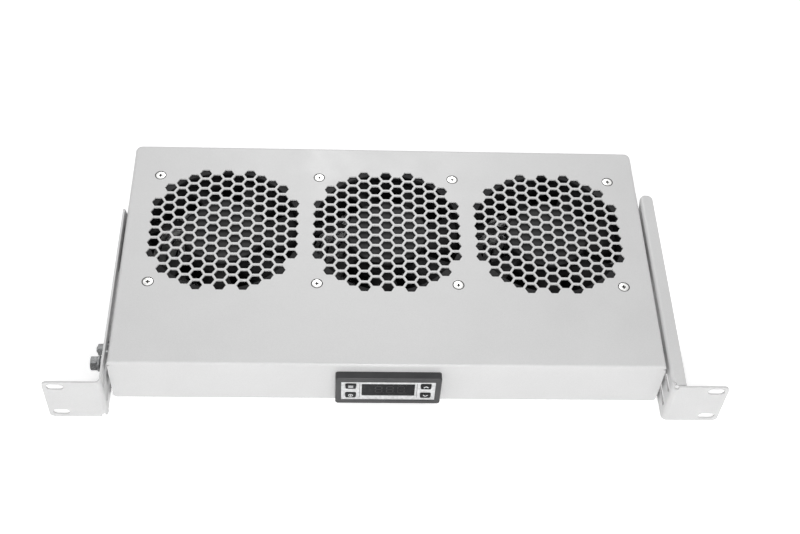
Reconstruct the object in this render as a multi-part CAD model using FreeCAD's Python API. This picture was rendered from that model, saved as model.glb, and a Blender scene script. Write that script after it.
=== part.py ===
"""Rack fan tray, one rack unit high: a folded steel tray with three axial fans under
honeycomb grilles, a panel thermostat in its front wall and two slotted rack brackets.

Millimetres. The origin is the centre of the four ear slots, on the face of the ears
that bears on the rack posts. +X is to the right seen from the front, +Y goes back into
the rack and +Z is up.
"""
import FreeCAD
import Part
import math
import os

V = FreeCAD.Vector
X_AXIS, Y_AXIS, Z_AXIS = V(1, 0, 0), V(0, 1, 0), V(0, 0, 1)
PARTS_FOLDER = "parts"

# ---- rack interface -----------------------------------------------------------------
rack_width = 482.6            # over both ears
unit_height = 43.66           # panel height of one rack unit
ear_slot_inset = 8.75         # slot centres in from the ends of the ears
ear_slot_pitch_z = 31.75
ear_slot_length = 12.0
ear_slot_width = 6.8
ear_corner_radius = 4.0

# ---- folded tray --------------------------------------------------------------------
tray_width = 397.0
tray_depth = 208.7
tray_sheet = 1.2
tray_setback = 15.4           # from the rack posts to the front wall
tray_bend_radius = 2.2        # outside radius of the folds
tray_rear_corner_radius = 5.0
return_flange = 9.0           # inward lip round the open underside
seam_width = 0.5              # open joint between front wall and side walls
corner_relief_radius = 1.1
front_corner_radius = 3.0

# ---- honeycomb grilles --------------------------------------------------------------
hole_pitch = 10.0
hole_across_flats = 8.4
grille_radius = 59.5          # hole centres lie inside this circle

# ---- fans ---------------------------------------------------------------------------
fan_pitch = 124.0
fan_row_from_front = 124.5
fan_size = 119.0
fan_depth = 38.0
fan_flange = 4.5
fan_corner_radius = 4.0
fan_screw_pitch = 105.0
fan_hole_radius = 2.25
fan_bore_radius = 57.5
fan_barrel_wall = 1.5
motor_base_radius = 32.0
motor_base_thickness = 3.5
strut_width = 6.0
strut_count = 4
strut_angle = 20.0
bearing_tube_radius = 8.5
bearing_radius = 6.5
bearing_width = 5.0
bearing_seat_clearance = 0.05
shaft_radius = 2.5
shaft_running_clearance = 0.04
hub_radius = 31.0
hub_wall = 2.0
hub_top_thickness = 2.5
hub_top_recess = 1.0          # hub face below the fan's mounting face
hub_boss_radius = 5.5
hub_boss_height = 5.0
hub_base_gap = 3.2            # hub rim above the motor base
blade_count = 7
blade_tip_clearance = 1.5
blade_thickness = 1.6
blade_root_chord = 30.0
blade_tip_chord = 37.0
blade_root_angle = 47.0
blade_tip_angle = 31.0
blade_sweep = 12.0
blade_camber = 0.09
core_radius = 26.0
core_height = 14.0
core_base_gap = 6.0
coil_count = 6
coil_circle_radius = 17.0
coil_radius = 4.2
coil_overhang = 3.0
coil_clearance = 0.1
core_seat_clearance = 0.05

# ---- finger guards ------------------------------------------------------------------
guard_leg_radius = 0.9
guard_ring_wire_radius = 0.7
guard_inner_ring = 13.0
guard_outer_ring = 54.0
guard_ring_count = 7
guard_eye_clearance = 0.25
weld_bite = 0.25              # how far welded wires sink into each other

# ---- small fasteners ----------------------------------------------------------------
m4_radius = 2.0
m4_csk_head_radius = 4.0
m4_pan_head_radius = 3.9
m4_pan_head_height = 2.2
m4_nut_flats = 7.0
m4_nut_height = 3.2
thread_clearance = 0.05       # between a thread and the nut or clearance-free bore on it
countersink_margin = 0.35     # countersink's radius over the screw head's
screw_stub = 1.2              # screw end beyond its nut
recess_arm = 2.1
recess_width = 0.9
recess_depth = 1.5

# ---- rack brackets ------------------------------------------------------------------
bracket_sheet = 1.5
bracket_gap = 2.0             # spacer thickness between tray and bracket
bracket_flange_width = 10.0
bracket_flange_end = 178.8
bracket_rear_run = 21.4       # the web's rear end leans forward this far at its free edge
bracket_bend_radius = 4.0     # outside radius where the ear is folded
bracket_flange_bend_radius = 2.5
bracket_flange_end_radius = 4.5
notch_radius = 1.6
flange_slit = 0.8
clamp_slot_pitch = 18.0
clamp_slot_width = 6.6
clamp_slot_front = 3.5
clamp_slot_rear = 105.0
clamp_bolt_from_front = 20.0  # behind the tray's front wall

m5_radius = 2.5
m5_head_flats = 8.0
m5_head_height = 3.5
m5_nut_height = 4.7
m5_washer_radius = 5.3
m5_washer_thickness = 1.0
m6_radius = 3.0
m6_head_flats = 10.0
m6_head_height = 4.0
m6_nut_height = 5.0
m6_washer_radius = 6.0
m6_washer_thickness = 1.2
toothed_washer_radius = 5.6
toothed_washer_thickness = 1.0
toothed_washer_teeth = 10
bolt_hole_clearance = 0.25
spacer_radius = 6.0

# ---- thermostat ---------------------------------------------------------------------
case_width = 70.4
case_height = 28.4
case_depth = 50.0             # behind the front wall's outer face
case_wall = 1.5
case_cutout_clearance = 0.3
bezel_side_lap = 2.8          # bezel beyond the case
bezel_top_lap = 2.1
bezel_projection = 6.0
bezel_corner_radius = 2.2
bezel_edge_radius = 1.0
bezel_drop = 3.1              # bezel centre below the tray's mid height
face_side_inset = 1.4         # front plate inside the case's outline
face_top_inset = 2.7
face_recess = 0.6
face_thickness = 1.4
face_clearance = 0.15
face_ledge = 1.2              # thickness of the lip that carries the front plate
face_ledge_width = 1.5
display_side_margin = 14.8    # from the front plate's ends
display_top_margin = 4.0
display_rise = 1.0            # display centre above the bezel's
display_recess = 0.3
display_clearance = 0.1
rib_width = 2.0
rib_height = 18.0
rib_projection = 0.5
rib_from_display = 2.9        # rib centre beyond the display's edge
button_width = 7.4
button_height = 5.8
button_projection = 0.8
button_travel = 0.5
button_length = 3.6
button_clearance = 0.3
button_corner_radius = 1.0
button_from_end = 6.8         # button centres in from the front plate's ends
button_row_pitch = 11.3
button_row_rise = 0.45        # middle of the button rows above the bezel's centre
button_collar_lap = 0.5
button_collar_thickness = 1.0
button_stem_radius = 1.5
switch_size = 4.0
switch_body = 1.6
board_margin = 1.0            # inside the case
terminal_depth = 8.0
terminal_height = 10.0
terminal_ways = 8
terminal_pitch = 5.0
terminal_entry_radius = 1.6
terminal_entry_drop = 1.5     # wire entries below the block's middle
terminal_screw_radius = 1.6
terminal_screw_from_case = 4.0
board_thickness = 1.6
power_board_rise = 3.0        # above the case's floor, on its posts
power_board_post_radius = 2.5
relay_size = (19.0, 15.0, 11.0)
clip_width = 12.0
clip_thickness = 3.0
clip_length = 16.0
clip_foot = 2.0
clip_foot_reach = 3.0

# ---- power inlet --------------------------------------------------------------------
inlet_x = -62.0
inlet_flange_width = 50.0
inlet_flange_height = 23.0
inlet_flange_thickness = 3.0
inlet_flange_radius = 3.0
inlet_body_width = 27.0
inlet_body_height = 19.6
inlet_body_depth = 15.0       # behind the flange
inlet_socket_width = 24.4
inlet_socket_height = 16.2
inlet_socket_depth = 15.5
inlet_socket_chamfer = 4.5
inlet_cutout_clearance = 0.3
inlet_pin_pitch = 7.0
inlet_pin_offset = 2.0
inlet_pin_width = 2.0
inlet_pin_height = 4.0
inlet_pin_recess = 2.5
inlet_tab_length = 8.0
inlet_tab_thickness = 0.8
inlet_screw_pitch = 40.0
m3_radius = 1.5
m3_csk_head_radius = 3.0
m3_nut_flats = 5.5
m3_nut_height = 2.4

# ---- wiring -------------------------------------------------------------------------
strip_length = 56.0
strip_width = 17.0
strip_height = 13.0
strip_ways = 6
strip_centre_x = -112.0
strip_from_front = 34.0
lead_radius = 1.1
fan_lead_radius = 1.5
fan_lead_step = 3.4
fan_outlet_offset = 34.0
fan_outlet_level = -3.0
inlet_lead_levels = (8.5, 11.5, 5.5)
probe_radius = 2.5
probe_length = 22.0
probe_x = 46.0
probe_level = 14.5
clearance = 0.3               # between pieces that only lie side by side

# ---- levels and places that follow from the sizes above -------------------------------
ear_slot_pitch_x = rack_width - 2 * ear_slot_inset
top = unit_height / 2
bottom = -unit_height / 2
ceiling = top - tray_sheet
front = tray_setback
back = tray_setback + tray_depth
side = tray_width / 2
fan_row = front + fan_row_from_front
fan_top = ceiling
fan_bottom = fan_top - fan_depth
motor_floor = fan_bottom + motor_base_thickness
hub_top = fan_top - hub_top_recess
hub_rim = motor_floor + hub_base_gap
barrel_radius = fan_bore_radius + fan_barrel_wall
fan_places = {"left": -fan_pitch, "middle": 0.0, "right": fan_pitch}
web_in = side + bracket_gap
web_out = web_in + bracket_sheet
clamp_y = front + clamp_bolt_from_front
bezel_width = case_width + 2 * bezel_side_lap
bezel_height = case_height + 2 * bezel_top_lap
bezel_z = -bezel_drop
face_width = case_width - 2 * face_side_inset
face_height = case_height - 2 * face_top_inset
display_width = face_width - 2 * display_side_margin
display_height = face_height - 2 * display_top_margin
rib_offset = display_width / 2 + rib_from_display
button_offset_x = face_width / 2 - button_from_end
button_offset_z = button_row_pitch / 2
bezel_front = front - bezel_projection
face_front = bezel_front + face_recess
button_z = bezel_z + button_row_rise
button_front = face_front - button_projection
switch_front = button_front + button_length + button_travel
board_front = switch_front + switch_body
board_width = case_width - 2 * case_wall - 2 * board_margin
power_board_level = bezel_z - case_height / 2 + case_wall + power_board_rise
case_back = front + case_depth
guard_top = fan_bottom
guard_leg_z = guard_top - guard_leg_radius
guard_ring_z = guard_leg_z - guard_leg_radius - guard_ring_wire_radius + weld_bite
strip_y = front + strip_from_front
strip_back = strip_y + strip_width / 2
strip_top = ceiling
strip_level = strip_top - strip_height / 2
fan_outlet_y = fan_row - fan_size / 2 + 2.0
trunk_y = fan_row - fan_size / 2 - 3.9     # leads run across here, ahead of the fans


# ---- shape helpers --------------------------------------------------------------------
def box(x0, x1, y0, y1, z0, z1):
    return Part.makeBox(x1 - x0, y1 - y0, z1 - z0, V(x0, y0, z0))


def block(centre, width, depth, height):
    x, y, z = centre
    return box(x - width / 2, x + width / 2, y - depth / 2, y + depth / 2, z - height / 2, z + height / 2)


def rod(start, direction, radius, length):
    return Part.makeCylinder(radius, length, V(*start), direction)


def tube(start, direction, outer, inner, length):
    return rod(start, direction, outer, length).cut(rod(start, direction, inner, length))


def prism(points, direction):
    """Extrudes the closed outline of the points along a vector."""
    outline = Part.makePolygon([V(*p) for p in points] + [V(*points[0])])
    return Part.Face(outline).extrude(direction)


def polygon_points(centre, flats, count=6, first_angle=0.0):
    """Corners of a regular polygon in the XY plane, by its width across flats."""
    corner = flats / 2 / math.cos(math.pi / count)
    turn = [math.radians(first_angle + 360.0 * k / count) for k in range(count)]
    return [(centre[0] + corner * math.cos(a), centre[1] + corner * math.sin(a), centre[2]) for a in turn]


def hex_prism_x(start, flats, length, bore=0.0):
    """Hexagon along X from start, towards the sign of length, bored when asked."""
    x, y, z = start
    corners = [(x, y + u, z + w) for u, w, _ in polygon_points((0, 0, 0), flats)]
    solid = prism(corners, V(length, 0, 0))
    if bore:
        solid = solid.cut(rod(start, V(math.copysign(1, length), 0, 0), bore, abs(length)))
    return solid


def hex_nut_z(start, flats, height, bore):
    """Nut standing on start, with its axis along Z."""
    nut = prism(polygon_points(start, flats), V(0, 0, height))
    return nut.cut(rod(start, Z_AXIS, bore, height))


def pick_edges(shape, test):
    return [e for e in shape.Edges if test(e)]


def along(edge, axis):
    """True for a straight edge parallel to the axis."""
    if len(edge.Vertexes) != 2 or not isinstance(edge.Curve, (Part.Line, Part.LineSegment)):
        return False
    run = edge.Vertexes[1].Point - edge.Vertexes[0].Point
    return run.cross(axis).Length < 1e-6 * max(run.Length, 1.0)


def round_plate(x0, x1, y0, y1, z0, z1, radius, axis=Z_AXIS):
    """Block with the four edges along one axis rounded."""
    solid = box(x0, x1, y0, y1, z0, z1)
    return solid.makeFillet(radius, pick_edges(solid, lambda e: along(e, axis)))


def at_level(edge, z):
    return all(abs(v.Z - z) < 1e-4 for v in edge.Vertexes) and abs(edge.CenterOfMass.z - z) < 1e-4


def fuse(solids):
    result = solids[0]
    return result.multiFuse(solids[1:]).removeSplitter() if len(solids) > 1 else result


def stadium_y(x0, x1, y0, y1, z, width):
    """Slot tool through a plate across X, running along Y."""
    radius = width / 2
    middle = box(x0, x1, y0 + radius, y1 - radius, z - radius, z + radius)
    ends = [rod((x0, y, z), X_AXIS, radius, x1 - x0) for y in (y0 + radius, y1 - radius)]
    return fuse([middle] + ends)


def stadium_x(x, z, length, width, y0, y1):
    """Slot tool through a plate across Y, running along X."""
    radius, half = width / 2, length / 2 - width / 2
    middle = box(x - half, x + half, y0, y1, z - radius, z + radius)
    ends = [rod((x + s * half, y0, z), Y_AXIS, radius, y1 - y0) for s in (-1, 1)]
    return fuse([middle] + ends)


def cross_recess(centre, axis_sign=1):
    """Tool for a cross recess that opens along +Z or -Z."""
    x, y, z = centre
    deep = z - axis_sign * recess_depth
    low, high = min(z, deep), max(z, deep)
    arms = [box(x - a, x + a, y - b, y + b, low, high)
            for a, b in ((recess_arm, recess_width / 2), (recess_width / 2, recess_arm))]
    return fuse(arms)


def export(name, *solids):
    """Writes one node: every piece in it is a closed solid of its own."""
    found = [s for shape in solids for s in shape.Solids]
    shape = found[0] if len(found) == 1 else Part.makeCompound(found)
    shape.exportStep(os.path.join(PARTS_FOLDER, name + ".step"))


# ---- folded tray --------------------------------------------------------------------
def rounded_pan(inset, low):
    """Upright block with rounded rear corners and folded top edges, inset from the outside."""
    x, y0, y1, z1 = side - inset, front + inset, back - inset, top - inset
    solid = box(-x, x, y0, y1, low, z1)
    rear = pick_edges(solid, lambda e: along(e, Z_AXIS) and e.CenterOfMass.y > (y0 + y1) / 2)
    solid = solid.makeFillet(tray_rear_corner_radius - inset, rear)
    return solid.makeFillet(tray_bend_radius - inset, pick_edges(solid, lambda e: at_level(e, z1)))


def grille_holes(fan_x):
    """Honeycomb of hexagonal hole tools, with flats towards the front and back."""
    tools = []
    column_pitch = hole_pitch * math.sqrt(3) / 2
    columns = int(grille_radius / column_pitch)
    rows = int(2 * grille_radius / hole_pitch)
    for column in range(-columns, columns + 1):
        for half_row in range(-rows, rows + 1):
            if (column + half_row) % 2 == 0:
                continue
            x, y = column * column_pitch, half_row * hole_pitch / 2
            if math.hypot(x, y) <= grille_radius:
                corners = polygon_points((fan_x + x, fan_row + y, ceiling), hole_across_flats)
                tools.append(prism(corners, V(0, 0, tray_sheet)))
    return tools


def fan_screw_places():
    """The eight screws in the tray's top: two outer ones for each end fan, four in the middle."""
    half = fan_screw_pitch / 2
    columns = (-fan_pitch - half, -half, half, fan_pitch + half)
    return [(x, fan_row + s * half) for x in columns for s in (-1, 1)]


def countersink(x, y, z, head_radius, shank_radius):
    """Tool for a 90 degree countersink with its hole, opening along +Z at z."""
    wide = head_radius + countersink_margin
    narrow = shank_radius + fan_hole_radius - m4_radius
    cone = Part.makeCone(narrow, wide, wide - narrow, V(x, y, z - (wide - narrow)))
    return fuse([cone, rod((x, y, z - 2 * tray_sheet), Z_AXIS, narrow, 2 * tray_sheet)])


def clamp_bolt_places():
    """Side sign, height and shank radius of the four bolts that hold the brackets."""
    half = clamp_slot_pitch / 2
    return [(1, half, m5_radius), (1, -half, m5_radius), (-1, half, m5_radius), (-1, -half, m6_radius)]


def tray_shell():
    shell = rounded_pan(0.0, bottom).cut(rounded_pan(tray_sheet, bottom + tray_sheet))
    lip = tray_sheet + return_flange
    opening = box(-side + lip, side - lip, front + lip, back - lip, bottom, bottom + tray_sheet)
    tools = [opening]
    for s in (-1, 1):
        outer, inner = s * side, s * (side - tray_sheet)
        x0, x1 = min(outer, inner), max(outer, inner)
        seam_y = front + tray_sheet
        seam_top = top - tray_bend_radius - corner_relief_radius
        tools.append(box(x0, x1, seam_y, seam_y + seam_width, bottom, seam_top))
        relief = V(-s, 1, 0).normalize()
        start = V(outer + s, front - 1, seam_top)
        tools.append(Part.makeCylinder(corner_relief_radius, 3 * tray_bend_radius, start, relief))
        centre_x = s * (side - front_corner_radius)
        corner = box(min(outer, centre_x), max(outer, centre_x), front, seam_y, bottom,
                     bottom + front_corner_radius)
        keep = rod((centre_x, front, bottom + front_corner_radius), Y_AXIS, front_corner_radius, tray_sheet)
        tools.append(corner.cut(keep))
    for s, z, radius in clamp_bolt_places():
        tools.append(rod((s * (side - 2 * tray_sheet), clamp_y, z), V(s, 0, 0),
                         radius + bolt_hole_clearance, 3 * tray_sheet))
    cutout_w = case_width / 2 + case_cutout_clearance
    cutout_h = case_height / 2 + case_cutout_clearance
    tools.append(box(-cutout_w, cutout_w, front, front + tray_sheet, bezel_z - cutout_h, bezel_z + cutout_h))
    inlet_w = inlet_body_width / 2 + inlet_cutout_clearance
    inlet_h = inlet_body_height / 2 + inlet_cutout_clearance
    tools.append(box(inlet_x - inlet_w, inlet_x + inlet_w, back - tray_sheet, back, -inlet_h, inlet_h))
    for s in (-1, 1):
        tools.append(rod((inlet_x + s * inlet_screw_pitch / 2, back - tray_sheet, 0), Y_AXIS,
                         m3_radius + bolt_hole_clearance, tray_sheet))
    tools += [countersink(x, y, top, m4_csk_head_radius, m4_radius) for x, y in fan_screw_places()]
    for x in fan_places.values():
        tools += grille_holes(x)
    return shell.cut(Part.makeCompound(tools))


# ---- fans ---------------------------------------------------------------------------
def fan_corners(x):
    half = fan_screw_pitch / 2
    return [(x + a * half, fan_row + b * half) for a in (-1, 1) for b in (-1, 1)]


def fan_frame(x):
    half = fan_size / 2
    plates = [round_plate(x - half, x + half, fan_row - half, fan_row + half, z, z + fan_flange,
                          fan_corner_radius) for z in (fan_bottom, fan_top - fan_flange)]
    centre = (x, fan_row, fan_bottom)
    housing = fuse(plates + [rod(centre, Z_AXIS, barrel_radius, fan_depth)])
    tools = [rod(centre, Z_AXIS, fan_bore_radius, fan_depth)]
    for cx, cy in fan_corners(x):
        tools.append(rod((cx, cy, fan_bottom), Z_AXIS, fan_hole_radius, fan_depth))
        tools.append(countersink(cx, cy, top, m4_csk_head_radius, m4_radius))
    housing = housing.cut(Part.makeCompound(tools))
    base = rod(centre, Z_AXIS, motor_base_radius, motor_base_thickness)
    tube_top = hub_top - hub_top_thickness - hub_boss_height - clearance
    post = rod((x, fan_row, motor_floor), Z_AXIS, bearing_tube_radius, tube_top - motor_floor)
    struts = []
    for k in range(strut_count):
        arm = box(x + motor_base_radius - 1, x + fan_bore_radius + fan_barrel_wall / 2,
                  fan_row - strut_width / 2, fan_row + strut_width / 2, fan_bottom, motor_floor)
        arm.rotate(V(x, fan_row, 0), Z_AXIS, strut_angle + 360.0 * k / strut_count)
        struts.append(arm)
    seat = rod((x, fan_row, motor_floor), Z_AXIS, bearing_radius + bearing_seat_clearance, tube_top - motor_floor)
    return fuse([housing, base, post] + struts).cut(seat)


def blade_section(radius, angle, chord, lead):
    """Closed outline of the cambered blade where it crosses one radius."""
    slope, turn = math.radians(angle), math.radians(lead)
    out, tangent = V(math.cos(turn), math.sin(turn), 0), V(-math.sin(turn), math.cos(turn), 0)

    def place(u, w):
        level = (hub_top + hub_rim) / 2
        flat = u * math.cos(slope) - w * math.sin(slope)
        rise = u * math.sin(slope) + w * math.cos(slope)
        return out * radius + tangent * flat + V(0, 0, level + rise)

    half, camber = chord / 2, blade_camber * chord
    upper = Part.Arc(place(-half, 0), place(0, camber), place(half, 0)).toShape()
    lower = Part.Arc(place(half, -blade_thickness), place(0, camber - blade_thickness),
                     place(-half, -blade_thickness)).toShape()
    ends = [Part.LineSegment(place(half, 0), place(half, -blade_thickness)).toShape(),
            Part.LineSegment(place(-half, -blade_thickness), place(-half, 0)).toShape()]
    return Part.Wire([upper, ends[0], lower, ends[1]])


def impeller():
    """Hub and blades about the Z axis."""
    hub = rod((0, 0, hub_rim), Z_AXIS, hub_radius, hub_top - hub_rim)
    hub = hub.makeFillet(hub_wall * 0.9, pick_edges(hub, lambda e: at_level(e, hub_top)))
    hub = hub.cut(rod((0, 0, hub_rim), Z_AXIS, hub_radius - hub_wall, hub_top - hub_top_thickness - hub_rim))
    boss_low = hub_top - hub_top_thickness - hub_boss_height
    boss = tube((0, 0, boss_low), Z_AXIS, hub_boss_radius, shaft_radius + thread_clearance, hub_boss_height)
    tip = fan_bore_radius - blade_tip_clearance
    middle = (hub_radius + tip) / 2
    stations = ((hub_radius - hub_wall / 2, blade_root_angle, blade_root_chord, 0.0),
                (middle, (blade_root_angle + blade_tip_angle) / 2, (blade_root_chord + blade_tip_chord) / 2,
                 blade_sweep / 3),
                (tip + 2 * blade_tip_clearance, blade_tip_angle, blade_tip_chord, blade_sweep))
    blade = Part.makeLoft([blade_section(*s) for s in stations], True)
    blade = blade.common(tube((0, 0, hub_rim), Z_AXIS, tip, hub_radius - hub_wall / 2, hub_top - hub_rim))
    blades = []
    for k in range(blade_count):
        copy = blade.copy()
        copy.rotate(V(0, 0, 0), Z_AXIS, 360.0 * k / blade_count)
        blades.append(copy)
    return fuse([hub, boss] + blades)


def shaft():
    low = motor_floor + clearance
    return rod((0, 0, low), Z_AXIS, shaft_radius, hub_top - hub_top_thickness - low)


def bearings(x):
    tube_top = hub_top - hub_top_thickness - hub_boss_height - clearance
    inner = shaft_radius + shaft_running_clearance
    return [tube((x, fan_row, z), Z_AXIS, bearing_radius, inner, bearing_width)
            for z in (motor_floor, tube_top - bearing_width)]


def coil_places(x):
    turns = [2 * math.pi * k / coil_count for k in range(coil_count)]
    return [(x + coil_circle_radius * math.cos(a), fan_row + coil_circle_radius * math.sin(a)) for a in turns]


def motor_core(x):
    low = motor_floor + core_base_gap
    core = tube((x, fan_row, low), Z_AXIS, core_radius, bearing_tube_radius + core_seat_clearance, core_height)
    slots = [rod((cx, cy, low), Z_AXIS, coil_radius, core_height) for cx, cy in coil_places(x)]
    return core.cut(Part.makeCompound(slots))


def motor_coils(x):
    low = motor_floor + core_base_gap - coil_overhang
    return [rod((cx, cy, low), Z_AXIS, coil_radius - coil_clearance, core_height + 2 * coil_overhang)
            for cx, cy in coil_places(x)]


def finger_guard(x):
    pitch = (guard_outer_ring - guard_inner_ring) / (guard_ring_count - 1)
    rings = [Part.makeTorus(guard_inner_ring + pitch * k, guard_ring_wire_radius, V(x, fan_row, guard_ring_z))
             for k in range(guard_ring_count)]
    eye_radius = m4_radius + guard_eye_clearance + guard_leg_radius
    corner = fan_screw_pitch / 2
    reach = math.hypot(corner, corner) - eye_radius
    legs = []
    for a in (-1, 1):
        for b in (-1, 1):
            out = V(a, b, 0).normalize()
            start = V(x, fan_row, guard_leg_z) + out * guard_inner_ring
            legs.append(Part.makeCylinder(guard_leg_radius, reach - guard_inner_ring, start, out))
            legs.append(Part.makeTorus(eye_radius, guard_leg_radius,
                                       V(x + a * corner, fan_row + b * corner, guard_leg_z)))
    return fuse(legs + rings)


def fan_screw(x, y):
    """Countersunk screw through the tray's top and the fan's upper flange."""
    head_top = top - 0.1
    head_depth = m4_csk_head_radius - m4_radius
    head = Part.makeCone(m4_radius, m4_csk_head_radius, head_depth, V(x, y, head_top - head_depth))
    low = fan_top - fan_flange - m4_nut_height - screw_stub
    shank = rod((x, y, low), Z_AXIS, m4_radius, head_top - head_depth - low)
    return fuse([head, shank]).cut(cross_recess((x, y, head_top)))


def guard_screw(x, y):
    """Pan head screw up through the guard's eye and the fan's lower flange."""
    seat = guard_top - 2 * guard_leg_radius
    head = rod((x, y, seat - m4_pan_head_height), Z_AXIS, m4_pan_head_radius, m4_pan_head_height)
    head = head.makeFillet(m4_pan_head_height * 0.45,
                           pick_edges(head, lambda e: at_level(e, seat - m4_pan_head_height)))
    high = fan_bottom + fan_flange + m4_nut_height + screw_stub
    shank = rod((x, y, seat), Z_AXIS, m4_radius, high - seat)
    return fuse([head, shank]).cut(cross_recess((x, y, seat - m4_pan_head_height), -1))


def screw_nut(x, y, z):
    return hex_nut_z((x, y, z), m4_nut_flats, m4_nut_height, m4_radius + thread_clearance)


# ---- rack brackets ------------------------------------------------------------------
def bend_corner(radius, thickness):
    """Quarter of a folded sheet in the XY plane, turning from +Y to +X, about its bend centre."""
    ring = rod((0, 0, 0), Z_AXIS, radius, 1).cut(rod((0, 0, 0), Z_AXIS, radius - thickness, 1))
    return ring.common(box(-radius, 0, -radius, 0, 0, 1))


def angle_section(leg_x, leg_y, radius, thickness):
    """Outline of an angle section with its outer corner at the origin, one unit high."""
    quarter = bend_corner(radius, thickness)
    quarter.translate(V(radius, radius, 0))
    return fuse([box(radius, leg_x, 0, thickness, 0, 1), box(0, thickness, radius, leg_y, 0, 1), quarter])


def stretched(unit_solid, height):
    """The same section, extruded to a height."""
    base = min((f for f in unit_solid.Faces), key=lambda f: f.CenterOfMass.z)
    return base.extrude(V(0, 0, height))


def bracket():
    """The right-hand bracket; the left one is the same piece turned half round the Y axis."""
    ear_out = rack_width / 2
    length = bracket_flange_end + bracket_sheet
    bend_back = bracket_bend_radius - bracket_sheet + flange_slit
    fold = bracket_flange_bend_radius
    plan = stretched(angle_section(ear_out - web_in, length, bracket_bend_radius, bracket_sheet), unit_height)
    plan.translate(V(web_in, -bracket_sheet, bottom))
    plan = plan.cut(box(web_in, web_out, bend_back, bracket_flange_end, top - fold, top))
    rail = stretched(angle_section(bracket_flange_width, unit_height / 2, fold, bracket_sheet),
                     bracket_flange_end - bend_back)
    rail.rotate(V(0, 0, 0), X_AXIS, -90)
    rail.translate(V(web_in, bend_back, top))
    tab = box(web_in + fold, web_in + bracket_flange_width, flange_slit, bend_back, top - bracket_sheet, top)
    body = fuse([plan, rail, tab])
    tools = [rod((web_in + bracket_bend_radius - notch_radius * 0.7, -bracket_sheet / 2, top - 2 * notch_radius),
                 Z_AXIS, notch_radius, 2 * notch_radius)]
    end_y = bracket_flange_end - bracket_flange_end_radius
    lean = [(web_in, end_y, top - fold), (web_in, bracket_flange_end, top - fold),
            (web_in, bracket_flange_end, bottom), (web_in, bracket_flange_end - bracket_rear_run, bottom)]
    tools.append(prism(lean, V(bracket_sheet, 0, 0)))
    flange_out = web_in + bracket_flange_width
    tip = [rod((x, end_y, top - fold), Z_AXIS, bracket_flange_end_radius, fold)
           for x in (web_in + bracket_flange_end_radius, flange_out - bracket_flange_end_radius)]
    tip.append(box(web_in + bracket_flange_end_radius, flange_out - bracket_flange_end_radius, end_y,
                   bracket_flange_end, top - fold, top))
    tools.append(box(web_in, flange_out, end_y, bracket_flange_end, top - fold, top).cut(fuse(tip)))
    for s in (-1, 1):
        corner_x, corner_z = ear_out - ear_corner_radius, s * (top - ear_corner_radius)
        low, high = min(corner_z, s * top), max(corner_z, s * top)
        corner = box(corner_x, ear_out, -bracket_sheet, 0, low, high)
        tools.append(corner.cut(rod((corner_x, -bracket_sheet, corner_z), Y_AXIS, ear_corner_radius,
                                    bracket_sheet)))
        tools.append(stadium_y(web_in, web_out, clamp_slot_front, clamp_slot_rear,
                               s * clamp_slot_pitch / 2, clamp_slot_width))
        tools.append(stadium_x(ear_slot_pitch_x / 2, s * ear_slot_pitch_z / 2, ear_slot_length,
                               ear_slot_width, -bracket_sheet, 0))
    return body.cut(Part.makeCompound(tools))


def clamp_bolt(s, z):
    """M5 bolt from inside the tray, with its head against the side wall."""
    seat = side - tray_sheet
    end = web_out + m5_washer_thickness + m5_nut_height + screw_stub
    head = hex_prism_x((s * seat, clamp_y, z), m5_head_flats, -s * m5_head_height)
    return fuse([head, rod((s * seat, clamp_y, z), V(s, 0, 0), m5_radius, end - seat)])


def spacer(s, z, radius):
    return tube((s * side, clamp_y, z), V(s, 0, 0), spacer_radius, radius + bolt_hole_clearance, bracket_gap)


def clamp_washer(s, z):
    return tube((s * web_out, clamp_y, z), V(s, 0, 0), m5_washer_radius, m5_radius + thread_clearance,
                m5_washer_thickness)


def clamp_nut(s, z):
    return hex_prism_x((s * (web_out + m5_washer_thickness), clamp_y, z), m5_head_flats,
                       s * m5_nut_height, m5_radius + thread_clearance)


def earth_stack():
    """Distances from the bracket's outer face of each piece on the earth bolt, in order."""
    level = web_out
    places = []
    for name, thickness in (("washer", m6_washer_thickness), ("nut", m6_nut_height),
                            ("toothed", toothed_washer_thickness), ("washer", m6_washer_thickness),
                            ("nut", m6_nut_height)):
        places.append((name, level))
        level += thickness
    return places, level


def toothed_washer(x, z):
    ring = tube((-x, clamp_y, z), V(-1, 0, 0), toothed_washer_radius, m6_radius + thread_clearance,
                toothed_washer_thickness)
    gap = math.pi * toothed_washer_radius / toothed_washer_teeth
    notches = []
    for k in range(toothed_washer_teeth):
        notch = box(-x - toothed_washer_thickness, -x, clamp_y - gap / 2, clamp_y + gap / 2,
                    z + toothed_washer_radius - gap, z + toothed_washer_radius + 1)
        notch.rotate(V(0, clamp_y, z), X_AXIS, 360.0 * k / toothed_washer_teeth)
        notches.append(notch)
    return ring.cut(Part.makeCompound(notches))


def earth_pieces():
    """Bolt, washers and nuts of the earth point, on the left bracket's lower slot."""
    z = -clamp_slot_pitch / 2
    seat = side - tray_sheet
    places, level = earth_stack()
    head = hex_prism_x((-seat, clamp_y, z), m6_head_flats, m6_head_height)
    bolt = fuse([head, rod((-seat, clamp_y, z), V(-1, 0, 0), m6_radius, level + screw_stub / 2 - seat)])
    washers, nuts = [], []
    for name, x in places:
        start = (-x, clamp_y, z)
        if name == "washer":
            washers.append(tube(start, V(-1, 0, 0), m6_washer_radius, m6_radius + thread_clearance,
                                m6_washer_thickness))
        elif name == "toothed":
            washers.append(toothed_washer(x, z))
        else:
            nuts.append(hex_prism_x(start, m6_head_flats, -m6_nut_height, m6_radius + thread_clearance))
    return bolt, washers, nuts


# ---- thermostat ---------------------------------------------------------------------
def bezel_block(width, height, y0, y1):
    return box(-width / 2, width / 2, y0, y1, bezel_z - height / 2, bezel_z + height / 2)


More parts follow.
